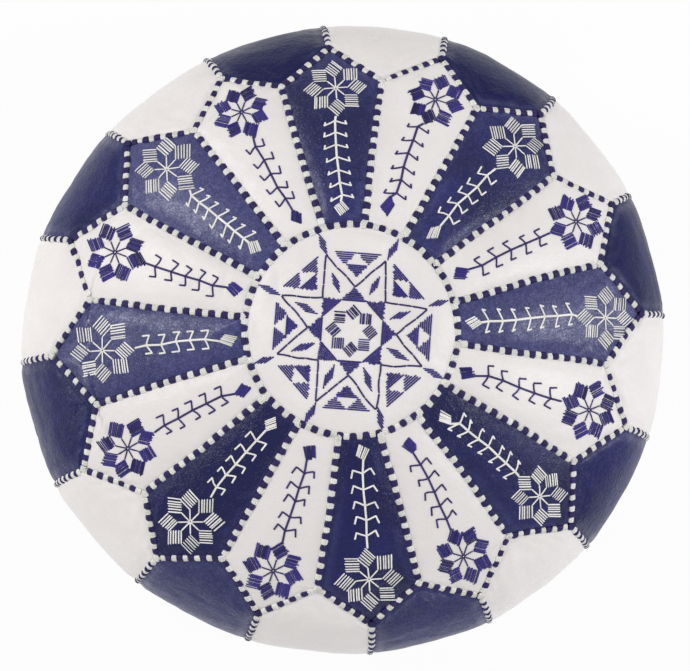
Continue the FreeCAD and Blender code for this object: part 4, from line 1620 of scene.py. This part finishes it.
@dataclass
class Embroidery:
    """Flowers on the petals and the star on the medallion, in satin and straight stitches."""

    form: Form
    finishes: Finishes
    surface: Surface
    shape: ThreadShape
    thread_height: float = 0.75 * MM
    shortest: float = 0.6 * MM
    flower_radius: float = 198.9 * MM
    flower_points: int = 8
    patch_inner: float = 9.6 * MM
    patch_side: float = 19.0 * MM
    patch_outer: float = 26.0 * MM
    spoke_width: float = 1.2 * MM
    line_width: float = 1.45 * MM
    octagon_width: float = 1.4 * MM
    bud_start: Pair = (88.5 * MM, 96.0 * MM)
    bud_length: Pair = (12.5 * MM, 17.0 * MM)
    bud_half: Pair = (4.3 * MM, 6.2 * MM)
    star_turn: float = math.radians(13.9)
    star_points: int = 8
    star_outer: float = 62.6 * MM
    star_inner: float = 34.7 * MM
    octagon: float = 25.8 * MM
    star_shift: Pair = (-0.1 * MM, -1.3 * MM)
    flower_drift: Pair = (2.6 * MM, -1.4 * MM)
    inner_bar: Pair = (39.8 * MM, 10.6 * MM)
    outer_bar: Pair = (72.0 * MM, 9.8 * MM)
    bar_slant: float = math.radians(16.0)
    rosette: float = 14.3 * MM
    rosette_half: float = 6.1 * MM
    wedge_apex: float = 42.3 * MM
    wedge_base: float = 62.6 * MM
    wedge_half: float = 18.6 * MM
    close_satin: Satin = Satin(9, 8, 1.24 * MM, 1.4 * MM, 0.93)
    open_satin: Satin = Satin(6, 6, 1.2 * MM, 0.45 * MM, 0.97)
    branch_pairs: tuple[int, ...] = (7, 6, 5, 5, 7, 5, 7, 5, 5, 5, 5, 5, 5, 5, 7, 5)
    seed: int = 23

    def __post_init__(self) -> None:
        """Start the random numbers and the first piece."""
        self.random = np.random.default_rng(self.seed)
        self.pile = ThreadPile()

    def stitch(
        self, start: Points, end: Points, width: float, dye: int, bow: float = 0.0, tint: float | None = None
    ) -> None:
        """Lay one straight stitch over the leather between two plan points.

        Args:
            start: Plan point where it comes up.
            end: Plan point where it goes down.
            width: Its width.
            dye: Number of its material.
            bow: How far its middle strays sideways.
            tint: How light it is, or None for any.
        """
        run = end - start
        length = float(np.hypot(*run))
        if length < self.shortest:
            return
        aside = np.array([-run[1], run[0]]) / length
        shares = np.linspace(0, 1, max(5, int(length / (1.5 * MM)) + 2))
        plan = start + np.outer(shares, run) + np.outer(np.sin(math.pi * shares) * bow, aside)
        flat = np.column_stack([plan, self.form.top_height(np.hypot(*plan.T))])
        up = np.array([0.0, 0.0, 1.0])
        landed = [self.surface.land(place, up) for place in self.form.settle(flat)]
        route, out = (np.array(rows) for rows in zip(*landed))
        x, y, z = self.shape.points.T
        base, facing = read_at(x, shares, route), read_at(x, shares, out)
        side = np.cross(facing, unit(route[-1] - route[0]))
        side /= np.linalg.norm(side, axis=1, keepdims=True)
        lift = self.thread_height * (0.42 - 0.72 * (np.abs(2 * x - 1) > 0.98))
        placed = base + side * (y * width)[:, None]
        placed += facing * (z * self.thread_height + lift)[:, None]
        # a stitch without a given tint gets a random lightness: partly its own tone, partly painted sheen and
        # shade for how light falls on it
        light = self.random.uniform(0.45, 1.0) if tint is None else tint
        self.pile.add(self.shape, placed, x * length, dye, light)

    def fill(self, corners: Sequence[Points], count: int, width: float, ragged: float) -> None:
        """Fill a four-cornered patch with stitches that run along two of its sides.

        Args:
            corners: Plan points: a start, the end of its stitch, and the same at the far side.
            count: Number of stitches.
            width: Their width.
            ragged: How unevenly they end.
        """
        random = self.random
        first, first_end, last_end, last = corners
        # painted sheen and shade: each patch is painted lighter or darker as a whole for the way its satin
        # catches the light, and each stitch a little apart
        patch_sheen = random.uniform(0.25, 0.95)
        for index in range(count):
            share = (index + 0.2) / (count - 0.6)
            share += random.normal(0, 0.10 / count)
            start = first + (last - first) * share
            end = first_end + (last_end - first_end) * share
            run = unit(end - start)
            longer = 0.35 * (index % 2)
            start = start - run * (random.uniform(-0.4, 0.5) + longer) * ragged * 0.6
            end = end + run * (random.uniform(-0.5, 0.9) + longer) * ragged
            tint = float(np.clip(patch_sheen + random.normal(0, 0.27), 0.1, 1.0))
            self.stitch(start, end, width * random.uniform(0.85, 1.12), SATIN, tint=tint)

    def petal(self, turn: float, pairs: int, satin: Satin) -> None:
        """Flower, stem with hooked branches, and bud on one petal.

        Args:
            turn: Direction of the petal.
            pairs: Number of pairs of branches.
            satin: How its patches are filled.
        """
        random = self.random
        outward = np.array([math.cos(turn), math.sin(turn)])
        aside = np.array([-outward[1], outward[0]])

        def at(radius: float, left: float) -> Points:
            """Plan point from a radius and a distance to the left."""
            return outward * radius + aside * left

        centre = at(self.flower_radius + random.normal(0, 1.5 * MM), random.normal(0, 1.5 * MM))
        centre = centre + np.array(self.flower_drift)
        hand = 1 if random.random() < 0.5 else -1
        first = random.normal(0, 0.05)
        size = random.uniform(0.96, 1.05) * satin.size
        for index in range(self.flower_points):
            angle = turn + first + index * 2 * math.pi / self.flower_points + random.normal(0, 0.035)
            corners = self._kite(centre, angle, hand, size * random.uniform(0.95, 1.06))
            self.fill(corners, satin.flower_count, satin.width, satin.ragged)
            spoke = corners[0] - centre
            self.stitch(centre + spoke * 0.05, centre + spoke * 1.02, self.spoke_width, LINE)
        stem_out = float(centre @ outward) - self.patch_outer * size + 1.0 * MM
        bud_in = random.uniform(*self.bud_start)
        bud_out = bud_in + random.uniform(*self.bud_length)
        bud_side = random.normal(0, 1.8 * MM)
        branch = Branch.close_set() if pairs > 5 else Branch.wide_set(random.uniform(0.0, 2.6) * MM)
        nodes = np.linspace(stem_out - branch.from_flower, bud_out + branch.from_bud, pairs)
        bend = random.normal(0, 0.9 * MM)
        places = [at(stem_out, 0.6 * float(centre @ aside))]
        for index, radius in enumerate(nodes):
            sway = bend * math.sin(math.pi * (index + 1) / (pairs + 1))
            places.append(at(radius + random.normal(0, 0.5 * MM), sway + random.normal(0, 0.4 * MM)))
        places.append(at(bud_out - 0.8 * MM, bud_side))
        for begin, finish in zip(places, places[1:]):
            self.stitch(begin, finish + unit(finish - begin) * 0.5 * MM, branch.stem_width, LINE)
        for node in places[1:-1]:
            for side in (-1, 1):
                reach = branch.reach * random.uniform(0.88, 1.1)
                slope = branch.slope * random.uniform(0.7, 1.25)
                knee = node + aside * side * reach - outward * slope
                barb = knee + outward * branch.hook * random.uniform(0.85, 1.15)
                barb = barb + aside * side * branch.lean * random.uniform(0.6, 1.3)
                self.stitch(node, knee, self.line_width, LINE, bow=random.normal(0, 0.3 * MM))
                self.stitch(knee - outward * 0.4 * MM, barb, self.line_width, LINE)
        lean = random.choice([-1.0, 1.0])
        skew = random.uniform(0.5, 2.6) * MM
        middle = (bud_in + bud_out) / 2
        half = random.uniform(*self.bud_half)
        tip, tail = at(bud_in, bud_side + lean * skew), at(bud_out, bud_side - lean * 0.4 * MM)
        left, right = at(middle + lean * skew, bud_side + half), at(middle - lean * skew, bud_side - half)
        ordered = (tip, left, tail, right) if lean > 0 else (tip, right, tail, left)
        self.fill(ordered, satin.bud_count, satin.width, satin.ragged)

    def _kite(self, centre: Points, angle: float, hand: int, size: float) -> tuple[Points, ...]:
        """Corners of one patch of a flower.

        Args:
            centre: The flower's middle.
            angle: Direction of the patch.
            hand: 1 or -1, the side that its stitches start on.
            size: Its size against the usual one.

        Returns:
            The inner, first side, outer and second side corners.
        """
        spread = hand * (math.pi / self.flower_points * 1.02)
        reaches = (self.patch_inner, self.patch_side, self.patch_outer, self.patch_side)
        turns = (angle, angle + spread, angle, angle - spread)
        return tuple(
            centre + reach * size * np.array([math.cos(turn), math.sin(turn)])
            for reach, turn in zip(reaches, turns)
        )

    def _on_star(self, radius: float, angle: float) -> Points:
        """Plan point at a radius and direction from the star's middle."""
        return np.array(self.star_shift) + radius * np.array([math.cos(angle), math.sin(angle)])

    def star(self) -> None:
        """Eight-pointed star, its rosette, darts, bars, triangles and dashes."""
        random, at = self.random, self._on_star
        step = 2 * math.pi / self.star_points
        half = step / 2
        for index in range(self.star_points):
            angle = FIRST_PETAL + self.star_turn + index * step
            point = at(self.star_outer * random.uniform(0.975, 1.025), angle + random.normal(0, 0.02))
            corner, next_corner = at(self.octagon, angle), at(self.octagon, angle + step)
            for side in (-1, 1):
                inner = at(self.star_inner, angle + side * half)
                begin = point
                for share in (0.36, 0.7, 1.0):
                    finish = point + (inner - point) * share
                    finish = finish + random.normal(0, 0.4 * MM, 2) * (share < 1)
                    self.stitch(begin, finish, self.line_width, LINE, bow=random.normal(0, 0.25 * MM))
                    begin = finish
            dart = at(self.star_inner, angle + half)
            self.stitch(corner, next_corner, self.octagon_width, LINE)
            self._triangle(corner, next_corner, dart, 8, 1.2 * MM)
            self._rosette_patch(angle + half)
            for radius, length in (self.inner_bar, self.outer_bar):
                self._slanted(at(radius, angle), angle, length)
            self._wedge(angle + half)

    def _rosette_patch(self, angle: float) -> None:
        """One open patch of the rosette in the star.

        Args:
            angle: Direction of the patch.
        """
        reach = math.hypot(self.rosette, self.rosette_half)
        spread = math.atan2(self.rosette_half, self.rosette)
        inner = self._on_star(self.rosette - self.rosette_half, angle)
        outer = self._on_star(self.rosette + self.rosette_half, angle)
        left, right = self._on_star(reach, angle + spread), self._on_star(reach, angle - spread)
        self.fill((inner, left, outer, right), 6, 1.15 * MM, 0.6 * MM)

    def _slanted(self, centre: Points, angle: float, length: float) -> None:
        """Bar of slanted stitches, each further out and to one side of the one before.

        Args:
            centre: Its middle.
            angle: Direction from the star's middle.
            length: Length of a stitch.
        """
        slant = angle + self.bar_slant + self.random.normal(0, 0.04)
        run = np.array([math.cos(slant), math.sin(slant)])
        across = np.array([math.sin(slant), -math.cos(slant)])
        count = int(self.random.integers(4, 6))
        for index in range(count):
            share = index - (count - 1) / 2
            middle = centre + share * (run * 2.2 * MM + across * 1.3 * MM)
            reach = length * self.random.uniform(0.46, 0.56)
            self.stitch(middle - run * reach, middle + run * reach, 1.1 * MM, SATIN)

    def _triangle(self, left: Points, right: Points, apex: Points, count: int, width: float) -> None:
        """Fill a triangle with stitches along its base.

        Args:
            left: One end of its base.
            right: The other end.
            apex: Its far corner.
            count: Number of stitches.
            width: Their width.
        """
        for index in range(count):
            share = (index + 0.3) / count
            start = left + (apex - left) * share
            end = right + (apex - right) * share
            begin, finish = self.random.uniform(-0.7, 1.3, 2) * MM
            run = unit(end - start)
            self.stitch(start - run * begin, end + run * finish, width, SATIN)

    def _wedge(self, angle: float) -> None:
        """Triangle of three smaller ones between two points of the star.

        Args:
            angle: Its direction.
        """
        side = self.wedge_half * np.array([-math.sin(angle), math.cos(angle)])
        apex = self._on_star(self.wedge_apex, angle + self.random.normal(0, 0.015))
        base = self._on_star(self.wedge_base + self.random.normal(0, 1.0 * MM), angle)
        left, right = base + side, base - side
        half_left, half_right = (apex + left) / 2, (apex + right) / 2
        self._triangle(half_left, half_right, apex, 7, 1.22 * MM)
        self._triangle(left, base, half_left, 6, 1.25 * MM)
        self._triangle(base, right, half_right, 6, 1.25 * MM)

    def make(self) -> None:
        """Embroider the medallion and every petal."""
        blue_silks, white_silks = self.finishes.blue_silks, self.finishes.white_silks
        self.star()
        self.pile.finish("medallion_star_thread", blue_silks, "thread_blue", "medallion_embroidery")
        white, blue = ThreadPile(), ThreadPile()
        for index, pairs in enumerate(self.branch_pairs):
            self.pile, satin = (blue, self.close_satin) if index % 2 else (white, self.open_satin)
            self.petal(FIRST_PETAL - PITCH * index, pairs, satin)
        white.finish("petal_flowers_white_thread", white_silks, "thread_white", "white_embroidery")
        blue.finish("petal_flowers_blue_thread", blue_silks, "thread_blue", "blue_embroidery")


# ------------------------ base, zip and filling


@dataclass
class Base:
    """Two navy half discs under the pouf, with a raised strip for the zip."""

    form: Form
    finishes: Finishes
    land_half: float = 22.0 * MM
    land_slope: float = 23.0 * MM
    slot_half_length: float = 128.0 * MM
    slot_half_width: float = 6.0 * MM
    sag: float = 0.8 * MM
    rows: int = 40
    columns: int = 90

    def level(self, points: Points) -> Points:
        """Height of the base over the floor.

        Args:
            points: Plan places.

        Returns:
            One height for each.
        """
        form = self.form
        flat_radius = form.base_radius - form.groove_slope
        rim = (np.hypot(points[:, 0], points[:, 1]) - flat_radius) / form.groove_slope
        strip = 1 - (np.abs(points[:, 1]) - self.land_half) / self.land_slope
        return form.groove_height * np.clip(np.maximum(rim, strip), 0, 1)

    def make(self) -> None:
        """Make both halves."""
        self.half(1, "base_half_left")
        self.half(-1, "base_half_right")

    def half(self, side: int, node: str) -> None:
        """Make one half.

        Args:
            side: 1 for the half on +Y, -1 for the other.
            node: Node of the frame that it stands for.
        """
        deselect()
        bpy.ops.mesh.primitive_grid_add(x_subdivisions=self.columns, y_subdivisions=self.rows, size=2.0)
        half = added(node + "_leather")
        flat = points_of(half)
        radius = self.form.base_radius - SEAM_GAP / 2
        x = radius * np.sin(flat[:, 0] * math.pi / 2)
        share = (flat[:, 1] + 1) / 2
        outer = np.sqrt(np.maximum(radius**2 - x**2, 0))
        slot = np.where(np.abs(x) < self.slot_half_length, self.slot_half_width, SEAM_GAP / 2)
        inner = np.minimum(slot, outer)
        y = inner + (outer - inner) * share
        places = np.column_stack([x, y * side, np.zeros(len(x))])
        places[:, 2] = self.level(places)
        seam = np.minimum(outer - y, y - inner)
        rise = (0.5 + 0.5 * noise_at(places, 28.0)) * self.sag
        places[:, 2] += rise * np.clip(seam / (12 * MM), 0, 1)
        set_points(half, places)
        store(half, "seam", seam)
        with editing(half):
            bpy.ops.mesh.remove_doubles(threshold=0.05 * MM)
            if side > 0:
                bpy.ops.mesh.flip_normals()
        thicken(half)
        finish_piece(half, [self.finishes.side_leather[Dye.NAVY]], [node])


@dataclass
class Zip:
    """Woven tapes, their stitching, and the brass parts of the zip."""

    finishes: Finishes
    strand: ThreadShape
    seams: SeamWork
    stitch_from_middle: float = 9.0 * MM
    stitch_pitch: float = 4.0 * MM
    stitch_length: float = 3.0 * MM
    stitch_width: float = 0.7 * MM
    stitch_height: float = 0.42 * MM
    stitch_sink: float = 0.16 * MM
    stitch_dip: float = 0.35 * MM
    land: float = 7.0 * MM
    end_seam: Pair = (130.4 * MM, 145.1 * MM)
    end_seam_height: float = 1.2 * MM
    rib_place: float = 1.2 * MM
    rib_width: float = 0.7 * MM
    rib_height: float = 0.12 * MM
    wave_height: float = 0.06 * MM
    metal: tuple[str, ...] = (
        "zip_teeth_left",
        "zip_teeth_right",
        "zip_slider",
        "zip_pull_tab",
        "zip_top_stops",
        "zip_bottom_stop",
    )

    def tape(self, node: str) -> None:
        """Make one woven tape with a corded edge.

        Args:
            node: Node of the frame that it stands for.
        """
        low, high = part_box(node)
        middle, size = (low + high) / 2, high - low
        deselect()
        bpy.ops.mesh.primitive_cube_add(size=1.0, location=middle, scale=size)
        tape = added(node + "_cloth")
        bpy.ops.object.transform_apply(location=True, rotation=True, scale=True)
        cuts = ((0, np.linspace(0.02, 0.98, 49)), (1, (0.06, 0.12, 0.3, 0.5, 0.7, 0.88, 0.94)))
        with editing(tape):
            for axis, shares in cuts:
                for share in shares:
                    bpy.ops.mesh.select_all(action="SELECT")
                    place = [low[axis] + size[axis] * share] * 3
                    bpy.ops.mesh.bisect(plane_co=place, plane_no=Matrix.Identity(3)[axis])
        points = points_of(tape)
        x, y, z = points.T
        rib = np.abs(y - (low.y if abs(low.y) > abs(high.y) else high.y))
        away = np.clip((np.abs(y) - 4 * MM) / (5 * MM), 0, 1)
        edge = self.rib_height * np.exp(-(((rib - self.rib_place) / self.rib_width) ** 2))
        points[:, 2] = z + np.where(z > middle.z, edge, 0) + np.abs(np.sin(x * 95) * self.wave_height * away)
        set_points(tape, points)
        smooth(tape, math.radians(40))
        finish_piece(tape, [self.finishes.tape], [node])

    def stitching(self) -> None:
        """Sew the two rows that hold the tapes to the leather."""
        low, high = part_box("zip_stitching")
        random = np.random.default_rng(5)
        pile = ThreadPile()
        count = round((high.x - low.x + self.stitch_pitch - self.stitch_length) / self.stitch_pitch)
        x, y, z = self.strand.points.T
        dip = (np.abs(2 * x - 1) > 0.98) * self.stitch_dip
        height = self.land - self.stitch_sink + z * self.stitch_height + dip
        run = x * self.stitch_length
        for side in (-1, 1):
            aside = side * self.stitch_from_middle + y * self.stitch_width
            for index in range(count):
                placed = np.column_stack([low.x + index * self.stitch_pitch + run, aside, height])
                pile.add(self.strand, placed, run, 0, random.uniform(0.5, 1))
        pile.finish("zip_stitching_thread", self.finishes.cords[1:], "zip_thread", "zip_stitching")

    def make(self) -> None:
        """Make the tapes and stitching, close the seam past the zip, and dress the metal."""
        for node in ("zip_tape_left", "zip_tape_right"):
            self.tape(node)
        self.stitching()
        for side in (-1, 1):
            x = np.linspace(*self.end_seam, 20) * side
            line = np.column_stack([x, np.zeros(20), np.full(20, self.land)])
            self.seams.sew_line(line, np.tile([0.0, 0.0, -1.0], (20, 1)), height=self.end_seam_height)
        self.seams.finish("zip_end_seams")
        for node in self.metal:
            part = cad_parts[node]
            part.data.materials.clear()
            part.data.materials.append(self.finishes.brass)


@dataclass
class Filling:
    """Cotton bag of loose fibre that fills the cover."""

    form: Form
    finishes: Finishes
    bag_depth: float = 7.0 * MM
    bag_cloth: float = 0.8 * MM
    bag_floor: float = 13.0 * MM
    bag_edge: float = math.radians(60.0)
    bag_gap: float = 0.3 * MM
    gathers: int = 60
    gather_depth: float = 0.004
    gather_width: float = 16.0 * MM
    fibre_depth: float = 8.8 * MM
    fibre_floor: float = 15.0 * MM
    lump: float = 1.6 * MM
    steps: int = 96
    top_rows: int = 60
    side_rows: int = 34
    floor_rows: int = 22

    def turned(self, name: str, outline: Points) -> Object:
        """Spin an outline about the pouf's axis.

        Args:
            name: Name of the piece.
            outline: Radius and height of each point.

        Returns:
            The turned sheet.
        """
        deselect()
        bpy.ops.mesh.primitive_circle_add(vertices=len(outline), radius=1.0, fill_type="NOTHING")
        piece = added(name)
        set_points(piece, np.column_stack([outline[:, 0], np.zeros(len(outline)), outline[:, 1]]))
        with editing(piece, "DESELECT"):
            pass
        for edge in piece.data.edges:
            edge.select = set(edge.vertices) == {0, len(outline) - 1}
        with editing(piece, ""):
            bpy.ops.mesh.delete(type="EDGE")
            bpy.ops.mesh.select_all(action="SELECT")
            bpy.ops.mesh.spin(steps=self.steps, angle=2 * math.pi, center=(0, 0, 0), axis=(0, 0, 1))
        merge_close(piece, 0.02 * MM)
        return piece

    def outline(self, start: float, end: float, depth: float, count: int) -> Points:
        """Radius and height at a depth inside the form, between two distances from the crown."""
        r, z, out, up = self.form.row(np.linspace(start, end, count))
        return np.column_stack([np.maximum(r - out * depth, 0), z - up * depth])

    def lower(self, depth: float, floor: float, start: float) -> Points:
        """Radius and height down the side and in across the bottom.

        Args:
            depth: How far inside the form.
            floor: Height of the bottom.
            start: Distance from the crown of the first point.

        Returns:
            One row for each point.
        """
        side = self.outline(start, self.form.foot_along - 8 * MM, depth, self.side_rows)
        side = side[side[:, 1] > floor + 1 * MM]
        radii = np.linspace(side[-1, 0] - 6 * MM, 0, self.floor_rows)
        return np.concatenate([side, np.column_stack([radii, np.full(len(radii), floor)])])

    def bag(self) -> None:
        """Make the bag's two halves, which meet at a seam round the middle."""
        form = self.form
        middle = form.equator_along
        top = self.outline(0, middle - self.bag_gap, self.bag_depth, self.top_rows)
        bottom = self.lower(self.bag_depth, self.bag_floor, middle + self.bag_gap)
        for half, outline in (("inner_bag_top", top), ("inner_bag_bottom", bottom)):
            piece = self.turned(half + "_cotton", outline)
            points = points_of(piece)
            turn = np.arctan2(points[:, 1], points[:, 0])
            near = np.exp(-np.abs(points[:, 2] - form.equator) / self.gather_width)
            gather = 1 - self.gather_depth * near * (1 + np.sin(turn * self.gathers))
            points[:, :2] *= gather[:, None]
            set_points(piece, form.settle(points))
            apply_modifier(piece, "SOLIDIFY", thickness=self.bag_cloth, offset=-1.0)
            smooth(piece, self.bag_edge)
            finish_piece(piece, [self.finishes.cotton], [half])

    def fibre(self) -> None:
        """Make the lumpy filling."""
        middle = self.form.equator_along
        top = self.outline(0, middle - 3 * MM, self.fibre_depth, self.top_rows)
        bottom = self.lower(self.fibre_depth, self.fibre_floor, middle)
        piece = self.turned("stuffing_fibre", np.concatenate([top, bottom]))
        points, facing = self.form.settle(points_of(piece)), normals_of(piece)
        lumps = np.array([noise.fractal(Vector(row) * 24.0, 0.8, 2.1, 4) for row in points])
        depth = self.lump * (1 + np.clip(lumps, -1, 1))
        set_points(piece, points - facing * depth[:, None])
        smooth(piece)
        finish_piece(piece, [self.finishes.fibre], ["stuffing"])

    def make(self) -> None:
        """Make the bag and what fills it."""
        self.bag()
        self.fibre()


# ------------------------ room


@dataclass(frozen=True)
class Lamp:
    """Square soft lamp."""

    name: str
    place: tuple[float, float, float]
    power: float
    size: float
    colour: Colour = (1.0, 1.0, 1.0)


@dataclass
class Studio:
    """Camera over the pouf, pale floor and plain soft light."""

    form: Form
    distance: float = 2.2
    lean: float = math.radians(3.84)
    heading: float = math.radians(46.5)
    roll: float = math.radians(4.3)
    frame_width: float = 0.5765
    aim: Pair = (-0.6 * MM, 3.2 * MM)
    sensor: float = 36.0
    floor_colour: Colour = (0.86, 0.86, 0.86)
    floor_glow: float = 0.93
    room_light: float = 0.52
    lamps: tuple[Lamp, ...] = (
        Lamp("key", (-1.6, 1.0, 2.0), 25.0, 1.0, (1.0, 0.99, 0.975)),
        Lamp("fill", (2.0, -0.2, 2.0), 20.0, 0.9, (0.98, 0.99, 1.0)),
        Lamp("low_left", (-2.0, -0.2, 0.7), 6.0, 0.5, (1.0, 0.99, 0.98)),
        Lamp("low_right", (2.0, 0.0, 0.8), 5.8, 0.5),
        Lamp("low_front", (0.3, -2.0, 0.7), 4.0, 0.5),
    )

    def camera(self) -> None:
        """Stand the camera nearly overhead, leaning a little towards its own near side."""
        ahead = Vector((math.sin(self.heading), math.cos(self.heading), 0))
        up = Vector((math.sin(self.roll), math.cos(self.roll), 0))
        aside = up.cross(Vector((0, 0, 1)))
        target = Vector((0, 0, self.form.equator)) + aside * self.aim[0] + up * self.aim[1]
        away = -ahead * math.sin(self.lean) + Vector((0, 0, math.cos(self.lean)))
        right = (-away).cross(up).normalized()
        true_up = right.cross(-away).normalized()
        data = bpy.data.cameras.new("camera")
        data.sensor_width = self.sensor
        data.lens = self.sensor * self.distance / self.frame_width
        data.clip_start = 0.05
        data.clip_end = 50.0
        camera = bpy.data.objects.new("camera", data)
        turn = Matrix((right, true_up, away)).transposed()
        camera.matrix_world = Matrix.Translation(target + away * self.distance) @ turn.to_4x4()
        bpy.context.scene.collection.objects.link(camera)
        bpy.context.scene.camera = camera

    def hang(self, lamp: Lamp) -> None:
        """Hang one lamp so that it faces the pouf.

        Args:
            lamp: The lamp.
        """
        data = bpy.data.lights.new(lamp.name, "AREA")
        data.energy = lamp.power
        data.size = lamp.size
        data.color = lamp.colour
        hung = bpy.data.objects.new(lamp.name, data)
        hung.location = lamp.place
        facing = Vector(lamp.place) - Vector((0, 0, self.form.equator))
        hung.rotation_euler = facing.to_track_quat("Z", "Y").to_euler()
        bpy.context.scene.collection.objects.link(hung)

    def floor(self) -> None:
        """Lay a wide pale floor that keeps the pouf's soft shadow."""
        deselect()
        bpy.ops.mesh.primitive_plane_add(size=30.0)
        floor = added("studio_floor")
        material, graph, shader = new_material("pale_floor")
        graph.feed(shader, {"Base Color": self.floor_colour, "Roughness": 0.9, "Specular IOR Level": 0.1})
        glow = graph.node("Emission", {"Color": (1, 1, 1), "Strength": 1.0}).outputs[0]
        share = graph.times(self.seen_rays(graph), self.floor_glow)
        mixed = graph.node("MixShader", {0: share, 1: shader.outputs[0], 2: glow}).outputs[0]
        graph.feed(graph.tree.nodes["Material Output"], {"Surface": mixed})
        floor.data.materials.append(material)
        floor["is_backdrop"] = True

    def world(self) -> None:
        """Fill the room with even white light."""
        world = bpy.data.worlds.new("studio")
        bpy.context.scene.world = world
        world.use_nodes = True
        graph = Graph(world.node_tree)
        fill = world.node_tree.nodes["Background"]
        graph.feed(fill, {"Color": (1, 1, 1), "Strength": self.room_light})
        white = graph.node("Background", {"Color": (1, 1, 1), "Strength": 1.0}).outputs[0]
        mixed = graph.node("MixShader", {0: self.seen_rays(graph), 1: fill.outputs[0], 2: white}).outputs[0]
        graph.feed(world.node_tree.nodes["World Output"], {"Surface": mixed})

    @staticmethod
    def seen_rays(graph: Graph) -> Socket:
        """Share of rays that show a background: seen directly, in a gloss or through glass.

        Args:
            graph: The tree that asks.

        Returns:
            1 for such a ray and 0 for others.
        """
        path = graph.node("LightPath").outputs
        seen = graph.maths("ADD", path["Is Camera Ray"], path["Is Glossy Ray"], clamp=True)
        return graph.maths("ADD", seen, path["Is Transmission Ray"], clamp=True)

    def make(self) -> None:
        """Set up the whole room."""
        self.camera()
        self.floor()
        self.world()
        for lamp in self.lamps:
            self.hang(lamp)
        bpy.context.scene.view_settings.view_transform = "Standard"


def corners(box: tuple[Vector, Vector]) -> list[list[float]]:
    """A box's two corners as plain lists of numbers."""
    return [[float(value) for value in corner] for corner in box]


def main() -> None:
    """Build the pouf in order: room, leather, seams, embroidery, base, zip and filling."""
    logging.basicConfig(level=logging.INFO, format="%(name)s: %(message)s")
    noise.seed_set(WANDER_SEED)
    reach = max(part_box(f"side_panel_{index + 1:02d}")[1].x for index in range(PETALS))
    low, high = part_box("medallion")
    medallion_radius = (high.x - low.x + SEAM_GAP) / 2 - DRAWN_IN
    form = Form(outer_radius=reach, height=high.z, medallion_radius=medallion_radius)
    LOG.info("form: radius %.1f mm, height %.1f mm", form.outer_radius / MM, form.height / MM)
    Studio(form).make()
    finishes = Finishes()
    surface = LeatherWork(form, finishes).make()
    bench = ThreadBench()
    strand, block = bench.strand(), bench.block()
    seams = SeamWork(form, finishes, surface, block)
    seams.make()
    Embroidery(form, finishes, surface, strand).make()
    Base(form, finishes).make()
    Zip(finishes, strand, seams).make()
    Filling(form, finishes).make()
    {"cad": corners(CAD_BOX), "visual": corners(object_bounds())}


if __name__ == "__main__":
    main()
